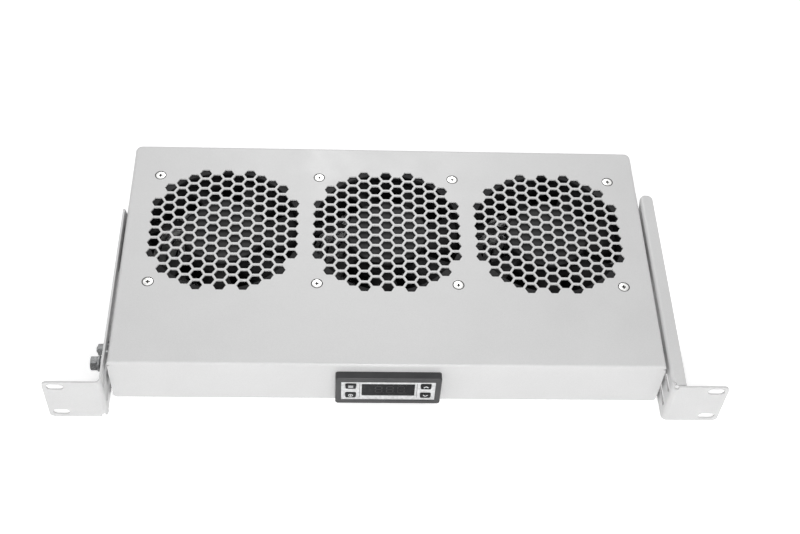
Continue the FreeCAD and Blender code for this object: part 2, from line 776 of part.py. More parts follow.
def button_places():
    return {"upper_left": (-button_offset_x, button_z + button_offset_z),
            "lower_left": (-button_offset_x, button_z - button_offset_z),
            "upper_right": (button_offset_x, button_z + button_offset_z),
            "lower_right": (button_offset_x, button_z - button_offset_z)}


def thermostat_bezel():
    bezel = bezel_block(bezel_width, bezel_height, bezel_front, front)
    bezel = bezel.makeFillet(bezel_corner_radius, pick_edges(bezel, lambda e: along(e, Y_AXIS)))
    rim = pick_edges(bezel, lambda e: abs(e.CenterOfMass.y - bezel_front) < 1e-4
                     and all(abs(v.Y - bezel_front) < 1e-4 for v in e.Vertexes))
    bezel = bezel.makeFillet(bezel_edge_radius, rim)
    pocket = 2 * face_clearance
    face_back = face_front + face_thickness
    ledge_back, inset = face_back + face_ledge, 2 * face_ledge_width
    tools = [bezel_block(face_width + pocket, face_height + pocket, bezel_front, face_back),
             bezel_block(face_width - inset, face_height - inset, face_back, ledge_back),
             bezel_block(case_width - 2 * case_wall, case_height - 2 * case_wall, ledge_back, front)]
    return bezel.cut(Part.makeCompound(tools))


def thermostat_face():
    """Silver front plate with its two ribs, open for the display and the buttons."""
    plate = bezel_block(face_width, face_height, face_front, face_front + face_thickness)
    ribs = [block((s * rib_offset, face_front - rib_projection / 2, button_z), rib_width, rib_projection,
                  rib_height) for s in (-1, 1)]
    plate = fuse([plate] + ribs)
    y0, y1 = face_front - 1, face_front + face_thickness
    tools = [block((0, (y0 + y1) / 2, bezel_z + display_rise), display_width + 2 * display_clearance, y1 - y0,
                   display_height + 2 * display_clearance)]
    for x, z in button_places().values():
        wide, high = button_width / 2 + button_clearance, button_height / 2 + button_clearance
        tools.append(round_plate(x - wide, x + wide, y0, y1, z - high, z + high,
                                 button_corner_radius + button_clearance, Y_AXIS))
    return plate.cut(Part.makeCompound(tools))


def thermostat_display():
    y0 = face_front + display_recess
    return block((0, (y0 + board_front) / 2, bezel_z + display_rise), display_width, board_front - y0,
                 display_height)


def button(x, z):
    """Cap through the front plate, with a collar behind it and a stem to its switch."""
    y0, collar_y = button_front, face_front + face_thickness
    collar_back = collar_y + button_collar_thickness
    cap = round_plate(x - button_width / 2, x + button_width / 2, y0, collar_back,
                      z - button_height / 2, z + button_height / 2, button_corner_radius, Y_AXIS)
    cap = cap.makeFillet(0.3, pick_edges(cap, lambda e: all(abs(v.Y - y0) < 1e-4 for v in e.Vertexes)))
    wide, high = button_width / 2 + button_collar_lap, button_height / 2 - 0.1
    collar = box(x - wide, x + wide, collar_y, collar_back, z - high, z + high)
    stem = rod((x, collar_back, z), Y_AXIS, button_stem_radius, y0 + button_length - collar_back)
    return fuse([cap, collar, stem])


def thermostat_switches():
    return [block((x, switch_front + switch_body / 2, z), switch_size, switch_body, switch_size)
            for x, z in button_places().values()]


def thermostat_board():
    high = case_height - 2 * case_wall - 3 * board_margin
    return bezel_block(board_width, high, board_front, board_front + board_thickness)


def thermostat_power_board():
    z = power_board_level
    return box(-board_width / 2, board_width / 2, board_front + board_thickness + board_margin,
               case_back - case_wall - board_margin / 2, z, z + board_thickness)


def thermostat_relay():
    wide, deep, high = relay_size
    z = power_board_level + board_thickness
    return block((-wide, case_back - deep, z + high / 2), wide, deep, high)


def thermostat_case():
    outer = bezel_block(case_width, case_height, front, case_back)
    inner = bezel_block(case_width - 2 * case_wall, case_height - 2 * case_wall, front, case_back - case_wall)
    case = outer.cut(inner)
    low, post_x = power_board_level - power_board_rise, board_width / 2 - 2 * power_board_post_radius
    posts = [rod((s * post_x, y, low), Z_AXIS, power_board_post_radius, power_board_rise)
             for s in (-1, 1) for y in (front + 12, case_back - 8)]
    return fuse([case] + posts)


def terminal_x(way):
    return (way - (terminal_ways - 1) / 2) * terminal_pitch


def thermostat_terminals():
    """Screw terminal block on the back of the case."""
    half = terminal_ways * terminal_pitch / 2 + 1
    y1, z = case_back + terminal_depth, bezel_z
    body = box(-half, half, case_back, y1, z - terminal_height / 2, z + terminal_height / 2)
    tools, screws = [], []
    for way in range(terminal_ways):
        x = terminal_x(way)
        screw_y = case_back + terminal_screw_from_case
        tools.append(rod((x, case_back + 3, z - terminal_entry_drop), Y_AXIS, terminal_entry_radius,
                         terminal_depth))
        tools.append(rod((x, screw_y, z + 2.5), Z_AXIS, terminal_screw_radius + 0.1, terminal_height))
        screw = rod((x, screw_y, z + 2.5), Z_AXIS, terminal_screw_radius, 1.9)
        screws.append(screw.cut(block((x, screw_y, z + 4.4), 4, 0.6, 1.4)))
    return body.cut(Part.makeCompound(tools)), screws


def thermostat_clip(s):
    """Side clip with its pressed foot, holding the case against the back of the front wall."""
    y0 = front + tray_sheet
    x0 = s * case_width / 2
    leg = box(min(x0, x0 + s * clip_thickness), max(x0, x0 + s * clip_thickness), y0, y0 + clip_length,
              bezel_z - clip_width / 2, bezel_z + clip_width / 2)
    foot_x = x0 + s * (clip_thickness + clip_foot_reach)
    foot = box(min(x0, foot_x), max(x0, foot_x), y0, y0 + clip_foot, bezel_z - clip_width / 2,
               bezel_z + clip_width / 2)
    return fuse([leg, foot])


# ---- power inlet --------------------------------------------------------------------
def inlet_pin_places():
    return ((-inlet_pin_pitch, -inlet_pin_offset), (0.0, inlet_pin_offset), (inlet_pin_pitch, -inlet_pin_offset))


def inlet_socket_outline(y):
    """Socket outline with its two sloped lower corners."""
    w, h, c = inlet_socket_width / 2, inlet_socket_height / 2, inlet_socket_chamfer
    points = ((-w, h), (w, h), (w, -h + c), (w - c, -h), (-w + c, -h), (-w, -h + c))
    return [(inlet_x + x, y, z) for x, z in points]


def inlet_pins():
    """Each pin is one blade right through the socket's floor, with its tab behind."""
    outer = back + inlet_flange_thickness - inlet_pin_recess
    body_end = back - inlet_body_depth
    pins = []
    for x, z in inlet_pin_places():
        blade = box(inlet_x + x - inlet_pin_width / 2, inlet_x + x + inlet_pin_width / 2, body_end, outer,
                    z - inlet_pin_height / 2, z + inlet_pin_height / 2)
        tab = box(inlet_x + x - inlet_tab_thickness / 2, inlet_x + x + inlet_tab_thickness / 2,
                  body_end - inlet_tab_length, body_end, z - inlet_pin_height / 2, z + inlet_pin_height / 2)
        pins.append(fuse([blade, tab]))
    return pins


def inlet_body():
    y1 = back + inlet_flange_thickness
    flange = round_plate(inlet_x - inlet_flange_width / 2, inlet_x + inlet_flange_width / 2, back, y1,
                         -inlet_flange_height / 2, inlet_flange_height / 2, inlet_flange_radius, Y_AXIS)
    body = block((inlet_x, back - inlet_body_depth / 2, 0), inlet_body_width, inlet_body_depth, inlet_body_height)
    solid = fuse([flange, body])
    tools = [prism(inlet_socket_outline(y1), V(0, -inlet_socket_depth, 0))] + inlet_pins()
    for s in (-1, 1):
        x = inlet_x + s * inlet_screw_pitch / 2
        narrow, wide = m3_radius + bolt_hole_clearance, m3_csk_head_radius + countersink_margin
        tools.append(Part.makeCone(narrow, wide, wide - narrow, V(x, y1 - wide + narrow, 0), Y_AXIS))
        tools.append(rod((x, back, 0), Y_AXIS, narrow, inlet_flange_thickness))
    return solid.cut(Part.makeCompound(tools))


def inlet_fixings():
    screws, nuts = [], []
    for s in (-1, 1):
        x, y1 = inlet_x + s * inlet_screw_pitch / 2, back + inlet_flange_thickness - 0.1
        depth = m3_csk_head_radius - m3_radius
        head = Part.makeCone(m3_radius, m3_csk_head_radius, depth, V(x, y1 - depth, 0), Y_AXIS)
        low = back - tray_sheet - m3_nut_height - screw_stub
        shank = rod((x, low, 0), Y_AXIS, m3_radius, y1 - depth - low)
        slot = block((x, y1, 0), 2 * m3_csk_head_radius, 1.6, 0.8)
        screws.append(fuse([head, shank]).cut(slot))
        y0 = back - tray_sheet
        corners = [(x + u, y0, w) for u, w, _ in polygon_points((0, 0, 0), m3_nut_flats)]
        nut = prism(corners, V(0, -m3_nut_height, 0))
        nuts.append(nut.cut(rod((x, y0 - m3_nut_height, 0), Y_AXIS, m3_radius + thread_clearance,
                                m3_nut_height)))
    return screws, nuts


# ---- wiring -------------------------------------------------------------------------
def strip_way_x(way):
    return strip_centre_x + (way - (strip_ways - 1) / 2) * strip_length / strip_ways


def terminal_strip():
    """Terminal strip bonded to the tray's ceiling, with a wire entry and a screw for each way."""
    half, deep = strip_length / 2, strip_width / 2
    y0, y1 = strip_y - deep, strip_y + deep
    body = box(strip_centre_x - half, strip_centre_x + half, y0, y1, strip_top - strip_height, strip_top)
    tools, screws = [], []
    for way in range(strip_ways):
        x = strip_way_x(way)
        tools.append(rod((x, y0, strip_level), Y_AXIS, 1.8, strip_width))
        tools.append(rod((x, strip_y, strip_top - strip_height), Z_AXIS, 2.0, strip_height / 2 - 2.5))
        screw = rod((x, strip_y, strip_top - strip_height + 0.8), Z_AXIS, 1.9, 2.0)
        screws.append(screw.cut(block((x, strip_y, strip_top - strip_height + 0.8), 4, 0.7, 1.6)))
    for way in range(1, strip_ways):
        x = strip_way_x(way) - strip_length / strip_ways / 2
        tools.append(box(x - 0.6, x + 0.6, y0, y1, strip_top - strip_height, strip_top - strip_height + 3))
    return body.cut(Part.makeCompound(tools)), screws


def lead(points, radius, bend):
    """Round lead along straight runs joined by tangent arcs."""
    pts = [V(*p) for p in points]
    edges, start = [], pts[0]
    for k in range(1, len(pts) - 1):
        into, out = (pts[k] - pts[k - 1]).normalize(), (pts[k + 1] - pts[k]).normalize()
        half = into.getAngle(out) / 2
        cut = bend * math.tan(half)
        a, b = pts[k] - into * cut, pts[k] + out * cut
        middle = pts[k] + (out - into).normalize() * (bend / math.cos(half) - bend)
        edges.append(Part.makeLine(start, a))
        edges.append(Part.Arc(a, middle, b).toShape())
        start = b
    edges.append(Part.makeLine(start, pts[-1]))
    path = Part.Wire(edges)
    ring = Part.Wire(Part.makeCircle(radius, pts[0], pts[1] - pts[0]))
    return path.makePipeShell([ring], True, False)


def into_strip(end_x, far_y, near_y, level, stop_y):
    """Last run of a lead: up to the strip's level and into its way."""
    return [(end_x, far_y, level), (end_x, near_y, strip_level), (end_x, stop_y, strip_level)]


def inlet_leads():
    """Live, earth and neutral from the inlet's tabs, between two fans, to the strip."""
    start_y = back - inlet_body_depth - inlet_tab_length - clearance
    leads = []
    for k, (x, z) in enumerate(inlet_pin_places()):
        level, end_x = inlet_lead_levels[k], strip_way_x(k)
        points = [(inlet_x + x, start_y, z), (inlet_x + x, start_y - 9, z),
                  (inlet_x, start_y - 22, level), (inlet_x, trunk_y - 1, level), (end_x, trunk_y - 1, level)]
        points += into_strip(end_x, strip_back + 10, strip_back + 5, level, strip_back - 5)
        leads.append(lead(points, lead_radius, 2.6))
    return leads


def fan_outlet(x):
    """Lead outlet block between the fan's flanges, trimmed to the barrel."""
    outlet = box(x + fan_outlet_offset - 5, x + fan_outlet_offset + 5, fan_outlet_y, fan_row - fan_bore_radius / 2,
                 fan_outlet_level - 4, fan_outlet_level + 4)
    return outlet.cut(rod((x, fan_row, fan_bottom), Z_AXIS, fan_bore_radius + fan_barrel_wall / 2, fan_depth))


def fan_leads():
    """Sheathed lead of each fan, from its outlet to the strip."""
    leads = []
    for k, x in enumerate(fan_places.values()):
        start_x, end_x = x + fan_outlet_offset, strip_way_x(strip_ways - 3 + k)
        level = fan_outlet_level - 1.0 - fan_lead_step * k
        points = [(start_x, fan_outlet_y - clearance, fan_outlet_level), (start_x, trunk_y, fan_outlet_level),
                  (start_x - 9, trunk_y, level), (end_x, trunk_y, level)]
        points += into_strip(end_x, strip_back + 10, strip_back + 5, level, strip_back - 5)
        leads.append(lead(points, fan_lead_radius, 2.4))
    return leads


def thermostat_leads():
    """Three leads from the thermostat to the front of the strip, and one to the probe."""
    start_y, start_z = case_back + 4.5, bezel_z - terminal_entry_drop
    strip_front = strip_y - strip_width / 2
    leads = []
    for k in range(3):
        x, level, end_x = terminal_x(k), start_z + 0.7 + 2.6 * k, strip_way_x(strip_ways - 1 - k)
        lane, run_y = strip_centre_x + strip_length / 2 + 14 - 3 * k, strip_front - 10 - 3 * k
        points = [(x, start_y, start_z), (x, trunk_y, start_z), (x - 4, trunk_y, level), (lane, trunk_y, level),
                  (lane, run_y, level), (end_x, run_y, level),
                  (end_x, strip_front - 5, strip_level), (end_x, strip_front + 5, strip_level)]
        leads.append(lead(points, lead_radius, 2.2))
    x = terminal_x(terminal_ways - 1)
    points = [(x, start_y, start_z), (x, trunk_y, start_z), (x + 12, trunk_y, probe_level),
              (probe_x, trunk_y, probe_level)]
    leads.append(lead(points, lead_radius, 2.2))
    return leads


def temperature_probe():
    probe = rod((probe_x, trunk_y, probe_level), X_AXIS, probe_radius, probe_length)
    tip = pick_edges(probe, lambda e: all(abs(v.X - probe_x - probe_length) < 1e-4 for v in e.Vertexes)
                     and abs(e.CenterOfMass.x - probe_x - probe_length) < 1e-4)
    return probe.makeFillet(probe_radius * 0.6, tip)


def probe_clip():
    """Clip bonded under the tray's top, round the probe."""
    middle = probe_x + probe_length / 2
    low = probe_level - probe_radius - 1.2
    clip = box(middle - 4, middle + 4, trunk_y - probe_radius - 1.2, trunk_y + probe_radius + 1.2, low, ceiling)
    clip = clip.cut(rod((middle - 4, trunk_y, probe_level), X_AXIS, probe_radius, 8))
    return clip.cut(box(middle - 4, middle + 4, trunk_y - 1.6, trunk_y + 1.6, low, probe_level))


# ---- the nodes ----------------------------------------------------------------------
def moved(solid, x, y=0.0, z=0.0):
    copy = solid.copy()
    copy.translate(V(x, y, z))
    return copy


def main():
    os.makedirs(PARTS_FOLDER, exist_ok=True)
    export("tray_shell", tray_shell())
    right_bracket = bracket()
    left_bracket = right_bracket.copy()
    left_bracket.rotate(V(0, 0, 0), Y_AXIS, 180)
    export("bracket_right", right_bracket)
    export("bracket_left", left_bracket)

    wheel, axle = impeller(), shaft()
    middle_frame, middle_guard = fuse([fan_frame(0.0), fan_outlet(0.0)]), finger_guard(0.0)
    middle_bearings, middle_core, middle_coils = bearings(0.0), motor_core(0.0), motor_coils(0.0)
    for name, x in fan_places.items():
        export("fan_frame_" + name, moved(middle_frame, x))
        export("impeller_" + name, moved(wheel, x, fan_row))
        export("rotor_shaft_" + name, moved(axle, x, fan_row))
        export("bearings_" + name, *[moved(b, x) for b in middle_bearings])
        export("motor_core_" + name, moved(middle_core, x))
        export("motor_coils_" + name, *[moved(c, x) for c in middle_coils])
        export("finger_guard_" + name, moved(middle_guard, x))

    top_places = fan_screw_places()
    export("fan_screws", *[fan_screw(x, y) for x, y in top_places])
    eyes = [place for x in fan_places.values() for place in fan_corners(x)]
    export("guard_screws", *[guard_screw(x, y) for x, y in eyes])
    nuts = [screw_nut(x, y, fan_top - fan_flange - m4_nut_height) for x, y in top_places]
    nuts += [screw_nut(x, y, fan_bottom + fan_flange) for x, y in eyes]
    export("fan_nuts", *nuts)

    clamps = [(s, z, radius) for s, z, radius in clamp_bolt_places()]
    plain = [(s, z) for s, z, radius in clamps if radius == m5_radius]
    export("bracket_spacers", *[spacer(s, z, radius) for s, z, radius in clamps])
    export("bracket_bolts", *[clamp_bolt(s, z) for s, z in plain])
    export("bracket_washers", *[clamp_washer(s, z) for s, z in plain])
    export("bracket_nuts", *[clamp_nut(s, z) for s, z in plain])
    earth_bolt, earth_washers, earth_nuts = earth_pieces()
    export("earth_bolt", earth_bolt)
    export("earth_washers", *earth_washers)
    export("earth_nuts", *earth_nuts)

    export("thermostat_bezel", thermostat_bezel())
    export("thermostat_face", thermostat_face())
    export("thermostat_display", thermostat_display())
    export("thermostat_switches", *thermostat_switches())
    export("thermostat_board", thermostat_board())
    export("thermostat_power_board", thermostat_power_board())
    export("thermostat_relay", thermostat_relay())
    export("thermostat_case", thermostat_case())
    terminals, terminal_screws = thermostat_terminals()
    export("thermostat_terminals", terminals)
    export("thermostat_terminal_screws", *terminal_screws)
    export("thermostat_clips", thermostat_clip(-1), thermostat_clip(1))
    for name, (x, z) in button_places().items():
        export("button_" + name, button(x, z))

    export("inlet_body", inlet_body())
    export("inlet_pins", *inlet_pins())
    screws, nuts = inlet_fixings()
    export("inlet_screws", *screws)
    export("inlet_nuts", *nuts)
    strip, strip_screws = terminal_strip()
    export("terminal_strip", strip)
    export("terminal_strip_screws", *strip_screws)
    export("inlet_leads", *inlet_leads())
    export("fan_leads", *fan_leads())
    export("thermostat_leads", *thermostat_leads())
    export("temperature_probe", temperature_probe())
    export("probe_clip", probe_clip())


if __name__ == "__main__":
    main()
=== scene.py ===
"""Looks of the rack fan tray: finishes for the folded sheet, fans, thermostat and wiring, and the stage."""

import math

import bmesh
import bpy
from bpy.props import FloatProperty, FloatVectorProperty, IntProperty, PointerProperty
from mathutils import Euler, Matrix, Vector


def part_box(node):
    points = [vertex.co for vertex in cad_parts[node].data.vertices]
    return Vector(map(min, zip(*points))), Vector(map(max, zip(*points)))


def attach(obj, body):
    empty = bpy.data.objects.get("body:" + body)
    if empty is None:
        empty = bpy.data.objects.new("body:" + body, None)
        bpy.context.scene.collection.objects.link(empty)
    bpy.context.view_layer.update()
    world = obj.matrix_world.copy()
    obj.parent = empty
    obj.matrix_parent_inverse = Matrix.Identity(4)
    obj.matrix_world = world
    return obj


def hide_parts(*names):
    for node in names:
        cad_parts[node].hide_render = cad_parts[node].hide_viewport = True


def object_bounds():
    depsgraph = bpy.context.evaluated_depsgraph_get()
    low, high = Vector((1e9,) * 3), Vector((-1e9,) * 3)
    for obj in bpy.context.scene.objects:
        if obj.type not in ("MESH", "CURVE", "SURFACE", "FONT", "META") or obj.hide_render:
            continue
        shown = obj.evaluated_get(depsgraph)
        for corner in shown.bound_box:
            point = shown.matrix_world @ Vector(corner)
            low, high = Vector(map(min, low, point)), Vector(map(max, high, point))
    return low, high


bl_info = {
    "name": "Rack Fan Tray",
    "version": (1, 0, 0),
    "blender": (4, 5, 0),
    "location": "View3D > Sidebar > Fan Tray",
    "description": "Finishes a one-unit rack fan tray and sets it on a studio stage",
    "category": "Add Mesh",
}

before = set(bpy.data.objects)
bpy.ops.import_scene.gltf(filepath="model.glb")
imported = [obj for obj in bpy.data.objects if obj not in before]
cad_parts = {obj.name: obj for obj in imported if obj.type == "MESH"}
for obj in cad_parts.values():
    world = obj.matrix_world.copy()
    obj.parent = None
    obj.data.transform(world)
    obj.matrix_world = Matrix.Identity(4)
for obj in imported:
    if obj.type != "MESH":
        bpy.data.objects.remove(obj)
CAD_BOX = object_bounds()
FANS = ("left", "middle", "right")
KEYS = ("upper_left", "lower_left", "upper_right", "lower_right")

# What every colour setting and every small length setting has.
COLOUR = {"subtype": "COLOR", "size": 3, "min": 0, "max": 1}
LENGTH = {"unit": "LENGTH", "precision": 5}

# Fasteners, in metres.
M4_RADIUS, M5_RADIUS, M6_RADIUS = 0.002, 0.0025, 0.003
M4_BORE, M5_BORE, M6_BORE = 0.00205, 0.00255, 0.00305
M4_NUT_FLATS, M4_NUT_HEIGHT = 0.007, 0.0032
M4_PAN_HEAD, M5_HEAD, M6_HEAD = 0.0022, 0.0035, 0.004
M5_FLATS_UNDER = 0.009          # an M5 hexagon is smaller than this over its flats, and an M6 one larger
M5_WASHER_UNDER = 0.0055        # the same for the radius of a plain washer
TOOTHED_WASHER = (0.0053, 0.0058)       # the radius of the toothed washer lies between these
THREAD_DEPTH = 0.13             # of the thread's radius
THREAD_END = 0.0007             # plain end beyond a thread
RECESS_DEPTH = 0.0016

# Prints and labels, in metres.
PRINT_THICKNESS = 0.00004
# thickness of the painted shade strips beside the thermostat's ribs
RIB_SHADE_THICKNESS = 0.00003
PRINT_LIFT = 0.00001            # middle of a print in front of its face
LABEL_THICKNESS = 0.00012

# Colours that lie over a finish.
SCRATCH_GREY = (0.5, 0.5, 0.5, 1)
DUST_GREY = (0.45, 0.43, 0.40, 1)
# painted shade for the gap round each countersunk head
PAINTED_GAP_SHADE = (0.05, 0.05, 0.05, 1)
# painted shade for the screws' cross recesses and rims
PAINTED_RECESS_SHADE = (0.03, 0.03, 0.03, 1)
STRIPE_YELLOW = (0.72, 0.60, 0.04, 1)

# Sheaths of the leads.
BROWN, BLUE, BLACK = (0.13, 0.045, 0.02), (0.02, 0.10, 0.42), (0.014, 0.014, 0.015)
EARTH_GREEN = (0.03, 0.22, 0.05)


# ---- sizes and colours a user would change ------------------------------------------------

class CoatSettings(bpy.types.PropertyGroup):
    """Powder coat of the tray and its brackets."""
    colour: FloatVectorProperty(name="Coat colour", description="Light grey of the coated sheet",
                                default=(0.665, 0.665, 0.665), **COLOUR)
    grain: FloatProperty(name="Grain", description="Width of one bump of the coat", default=0.0006, **LENGTH)
    depth: FloatProperty(name="Grain depth", description="How strongly the bumps show", default=0.12,
                         min=0, max=1)
    roughness: FloatProperty(name="Roughness", description="Roughness of the coat", default=0.38,
                             min=0, max=1)


class FanSettings(bpy.types.PropertyGroup):
    """Colours of the fans and their guards, and the size of their labels."""
    casting: FloatVectorProperty(name="Casting", description="Paint of the fan frames",
                                 default=(0.006, 0.006, 0.007), **COLOUR)
    blades: FloatVectorProperty(name="Blades", description="Plastic of hubs and blades",
                                default=(0.010, 0.010, 0.011), **COLOUR)
    wire: FloatVectorProperty(name="Guard wire", description="Plating of the guard wire",
                              default=(0.62, 0.63, 0.65), **COLOUR)
    label_radius: FloatProperty(name="Label radius", description="Radius of the foil label under a motor",
                                default=0.0245, **LENGTH)


class ThermostatSettings(bpy.types.PropertyGroup):
    """Colours and marks of the thermostat."""
    moulding: FloatVectorProperty(name="Moulding", description="Plastic of the bezel and case",
                                  default=(0.026, 0.026, 0.028), **COLOUR)
    face: FloatVectorProperty(name="Face", description="Silver film of the front plate",
                              default=(0.78, 0.785, 0.795), **COLOUR)
    window: FloatVectorProperty(name="Window", description="Smoked display window",
                                default=(0.008, 0.008, 0.010), **COLOUR)
    mark_height: FloatProperty(name="Mark height", description="Height of the marks on the keys",
                               default=0.0027, **LENGTH)
    digit_height: FloatProperty(name="Digit height", description="Height of the unlit digits",
                                default=0.0092, **LENGTH)
    digit_count: IntProperty(name="Digits", description="Digits behind the window", default=3, min=1, max=4)


class FastenerSettings(bpy.types.PropertyGroup):
    """Sizes of the screws', bolts' and nuts' detail."""
    thread_pitch: FloatProperty(name="Thread pitch", description="Pitch of the M5 bolts' threads",
                                default=0.0008, **LENGTH)
    recess_reach: FloatProperty(name="Recess reach", description="Half the width of a cross recess",
                                default=0.0018, **LENGTH)
    washer_teeth: IntProperty(name="Washer teeth", description="Twisted teeth of the toothed washer",
                              default=12, min=6, max=24)


class StageSettings(bpy.types.PropertyGroup):
    """Camera and floor."""
    camera_place: FloatVectorProperty(name="Camera place", description="Where the camera stands", size=3,
                                      unit="LENGTH", precision=4, default=(-0.03922, -0.50258, 0.79214))
    camera_turn: FloatVectorProperty(name="Camera turn", description="Tilt, roll and turn of the camera",
                                     size=3, subtype="EULER",
                                     default=(math.radians(38.218), math.radians(-2.656),
                                              math.radians(-1.209)))
    lens: FloatProperty(name="Lens", description="Focal length in millimetres on a 36 mm sensor",
                        default=59.0, min=10, max=200)
    floor_size: FloatProperty(name="Floor", description="Side of the square floor", default=6.0,
                              unit="LENGTH")


# ---- nodes and the groups that several finishes share -------------------------------------

SURFACE = [("Colour", "Color"), ("Roughness", "Float"), ("Height", "Float")]


def new_group(name, inputs, outputs):
    """An empty shader group with named sockets; inputs give their default values."""
    group = bpy.data.node_groups.new(name, "ShaderNodeTree")
    for socket, kind, value in inputs:
        item = group.interface.new_socket(socket, in_out="INPUT", socket_type="NodeSocket" + kind)
        item.default_value = value
    for socket, kind in outputs:
        group.interface.new_socket(socket, in_out="OUTPUT", socket_type="NodeSocket" + kind)
    return group, group.nodes.new("NodeGroupInput"), group.nodes.new("NodeGroupOutput")


def set_inputs(tree, node, values):
    """Links or sets a node's sockets, given by name or number."""
    for socket, value in values.items():
        if isinstance(value, bpy.types.NodeSocket):
            tree.links.new(value, node.inputs[socket])
        else:
            node.inputs[socket].default_value = value
    return node


def add_node(tree, kind, values, **settings):
    """A node with its settings and its inputs."""
    node = tree.nodes.new("ShaderNode" + kind)
    for key, value in settings.items():
        setattr(node, key, value)
    return set_inputs(tree, node, values)


def math_node(tree, operation, a, b=0.0, clamp=False):
    return add_node(tree, "Math", {0: a, 1: b}, operation=operation, use_clamp=clamp).outputs[0]


def blend_colours(tree, share, a, b, mode="MIX"):
    return add_node(tree, "Mix", {0: share, 6: a, 7: b}, data_type="RGBA", blend_type=mode).outputs[2]


def stretch(tree, value, low, high, to_low=0.0, to_high=1.0):
    """Maps a value's range onto another, held at the ends."""
    return add_node(tree, "MapRange", {0: value, 1: low, 2: high, 3: to_low, 4: to_high}).outputs[0]


def noise(tree, place, scale, detail, **more):
    """Noise from 0 to 1."""
    values = {"Vector": place, "Scale": scale, "Detail": detail, **more}
    return add_node(tree, "TexNoise", values).outputs["Fac"]


def scale_for(tree, width):
    """Scale at which one grain of a texture is that wide."""
    return math_node(tree, "DIVIDE", 1.0, width)


def object_place(tree):
    return tree.nodes.new("ShaderNodeTexCoord").outputs["Object"]


def object_normal(tree):
    return tree.nodes.new("ShaderNodeTexCoord").outputs["Normal"]


def uneven_gloss(tree, given, out, pattern, less, more):
    """Puts out the given roughness, from less to more of it along a pattern."""
    change = stretch(tree, pattern, 0.3, 0.7, less, more)
    rough = math_node(tree, "ADD", given.outputs["Roughness"], change)
    tree.links.new(rough, out.inputs["Roughness"])


def handling_group():
    """Faint smudges and hairline scratches left by handling."""
    group, given, out = new_group("Handling Marks", [("Amount", "Float", 0.5), ("Size", "Float", 0.02)],
                                  [("Smudge", "Float"), ("Scratch", "Float")])
    place = object_place(group)
    scale = scale_for(group, given.outputs["Size"])
    smudge = stretch(group, noise(group, place, scale, 4.0, Roughness=0.6), 0.42, 0.72)
    drawn_out = add_node(group, "Mapping", {"Vector": place, "Rotation": (0.2, 0.3, 0.7),
                                            "Scale": (1.0, 16.0, 4.0)}).outputs[0]
    hair = stretch(group, noise(group, drawn_out, scale, 6.0, Roughness=0.7), 0.66, 0.70)
    for socket, value in (("Smudge", smudge), ("Scratch", hair)):
        group.links.new(math_node(group, "MULTIPLY", value, given.outputs["Amount"]), out.inputs[socket])
    return group


def dust_group():
    """Specks of dust, thickest on what faces up."""
    group, given, out = new_group("Settled Dust", [("Amount", "Float", 0.3), ("Speck", "Float", 0.0005)],
                                  [("Mask", "Float")])
    place = object_place(group)
    specks = add_node(group, "TexVoronoi", {"Vector": place,
                                            "Scale": scale_for(group, given.outputs["Speck"])})
    specks = stretch(group, specks.outputs["Distance"], 0.10, 0.16, 1.0, 0.0)
    patch = stretch(group, noise(group, place, 60.0, 3.0), 0.45, 0.65)
    up = add_node(group, "SeparateXYZ", {0: object_normal(group)})
    facing = stretch(group, up.outputs["Z"], 0.2, 0.9, 0.15, 1.0)
    mask = math_node(group, "MULTIPLY", math_node(group, "MULTIPLY", specks, patch), facing)
    group.links.new(math_node(group, "MULTIPLY", mask, given.outputs["Amount"]), out.inputs["Mask"])
    return group


def powder_group():
    """Powder coat: fine orange peel, with a slightly uneven tone and gloss."""
    group, given, out = new_group("Powder Coat", [("Colour", "Color", (0.6, 0.6, 0.6, 1)),
                                                  ("Grain", "Float", 0.0006),
                                                  ("Roughness", "Float", 0.42)], SURFACE)
    place = object_place(group)
    scale = scale_for(group, given.outputs["Grain"])
    peel = noise(group, place, scale, 2.0, Roughness=0.45)
    cells = add_node(group, "TexVoronoi", {"Vector": place, "Scale": scale, "Smoothness": 1.0},
                     feature="SMOOTH_F1")
    half_cells = math_node(group, "MULTIPLY", cells.outputs["Distance"], 0.5)
    group.links.new(math_node(group, "ADD", peel, half_cells), out.inputs["Height"])
    tone = noise(group, place, 22.0, 3.0)
    shade = math_node(group, "MULTIPLY", stretch(group, tone, 0.3, 0.7, 0.97, 1.02),
                      stretch(group, peel, 0.35, 0.65, 0.975, 1.02))
    tint = add_node(group, "VectorMath", {0: given.outputs["Colour"], "Scale": shade}, operation="SCALE")
    group.links.new(tint.outputs[0], out.inputs["Colour"])
    uneven_gloss(group, given, out, tone, -0.05, 0.06)
    return group


def drawn_group():
    """Plated or drawn metal: fine lines along one axis, clouded plating and worn bright spots."""
    group, given, out = new_group("Drawn Metal", [("Colour", "Color", (0.6, 0.6, 0.6, 1)),
                                                  ("Line Stretch", "Vector", (1.0, 1.0, 0.05)),
                                                  ("Line Width", "Float", 0.0003),
                                                  ("Roughness", "Float", 0.3)], SURFACE)
    place = object_place(group)
    along = add_node(group, "VectorMath", {0: place, 1: given.outputs["Line Stretch"]},
                     operation="MULTIPLY").outputs[0]
    lines = noise(group, along, scale_for(group, given.outputs["Line Width"]), 3.0)
    cloud = stretch(group, noise(group, place, 400.0, 3.0), 0.35, 0.7)
    dark = blend_colours(group, 0.35, given.outputs["Colour"], (0.22, 0.21, 0.19, 1), "MULTIPLY")
    group.links.new(blend_colours(group, cloud, given.outputs["Colour"], dark), out.inputs["Colour"])
    uneven_gloss(group, given, out, lines, -0.08, 0.12)
    group.links.new(lines, out.inputs["Height"])
    return group


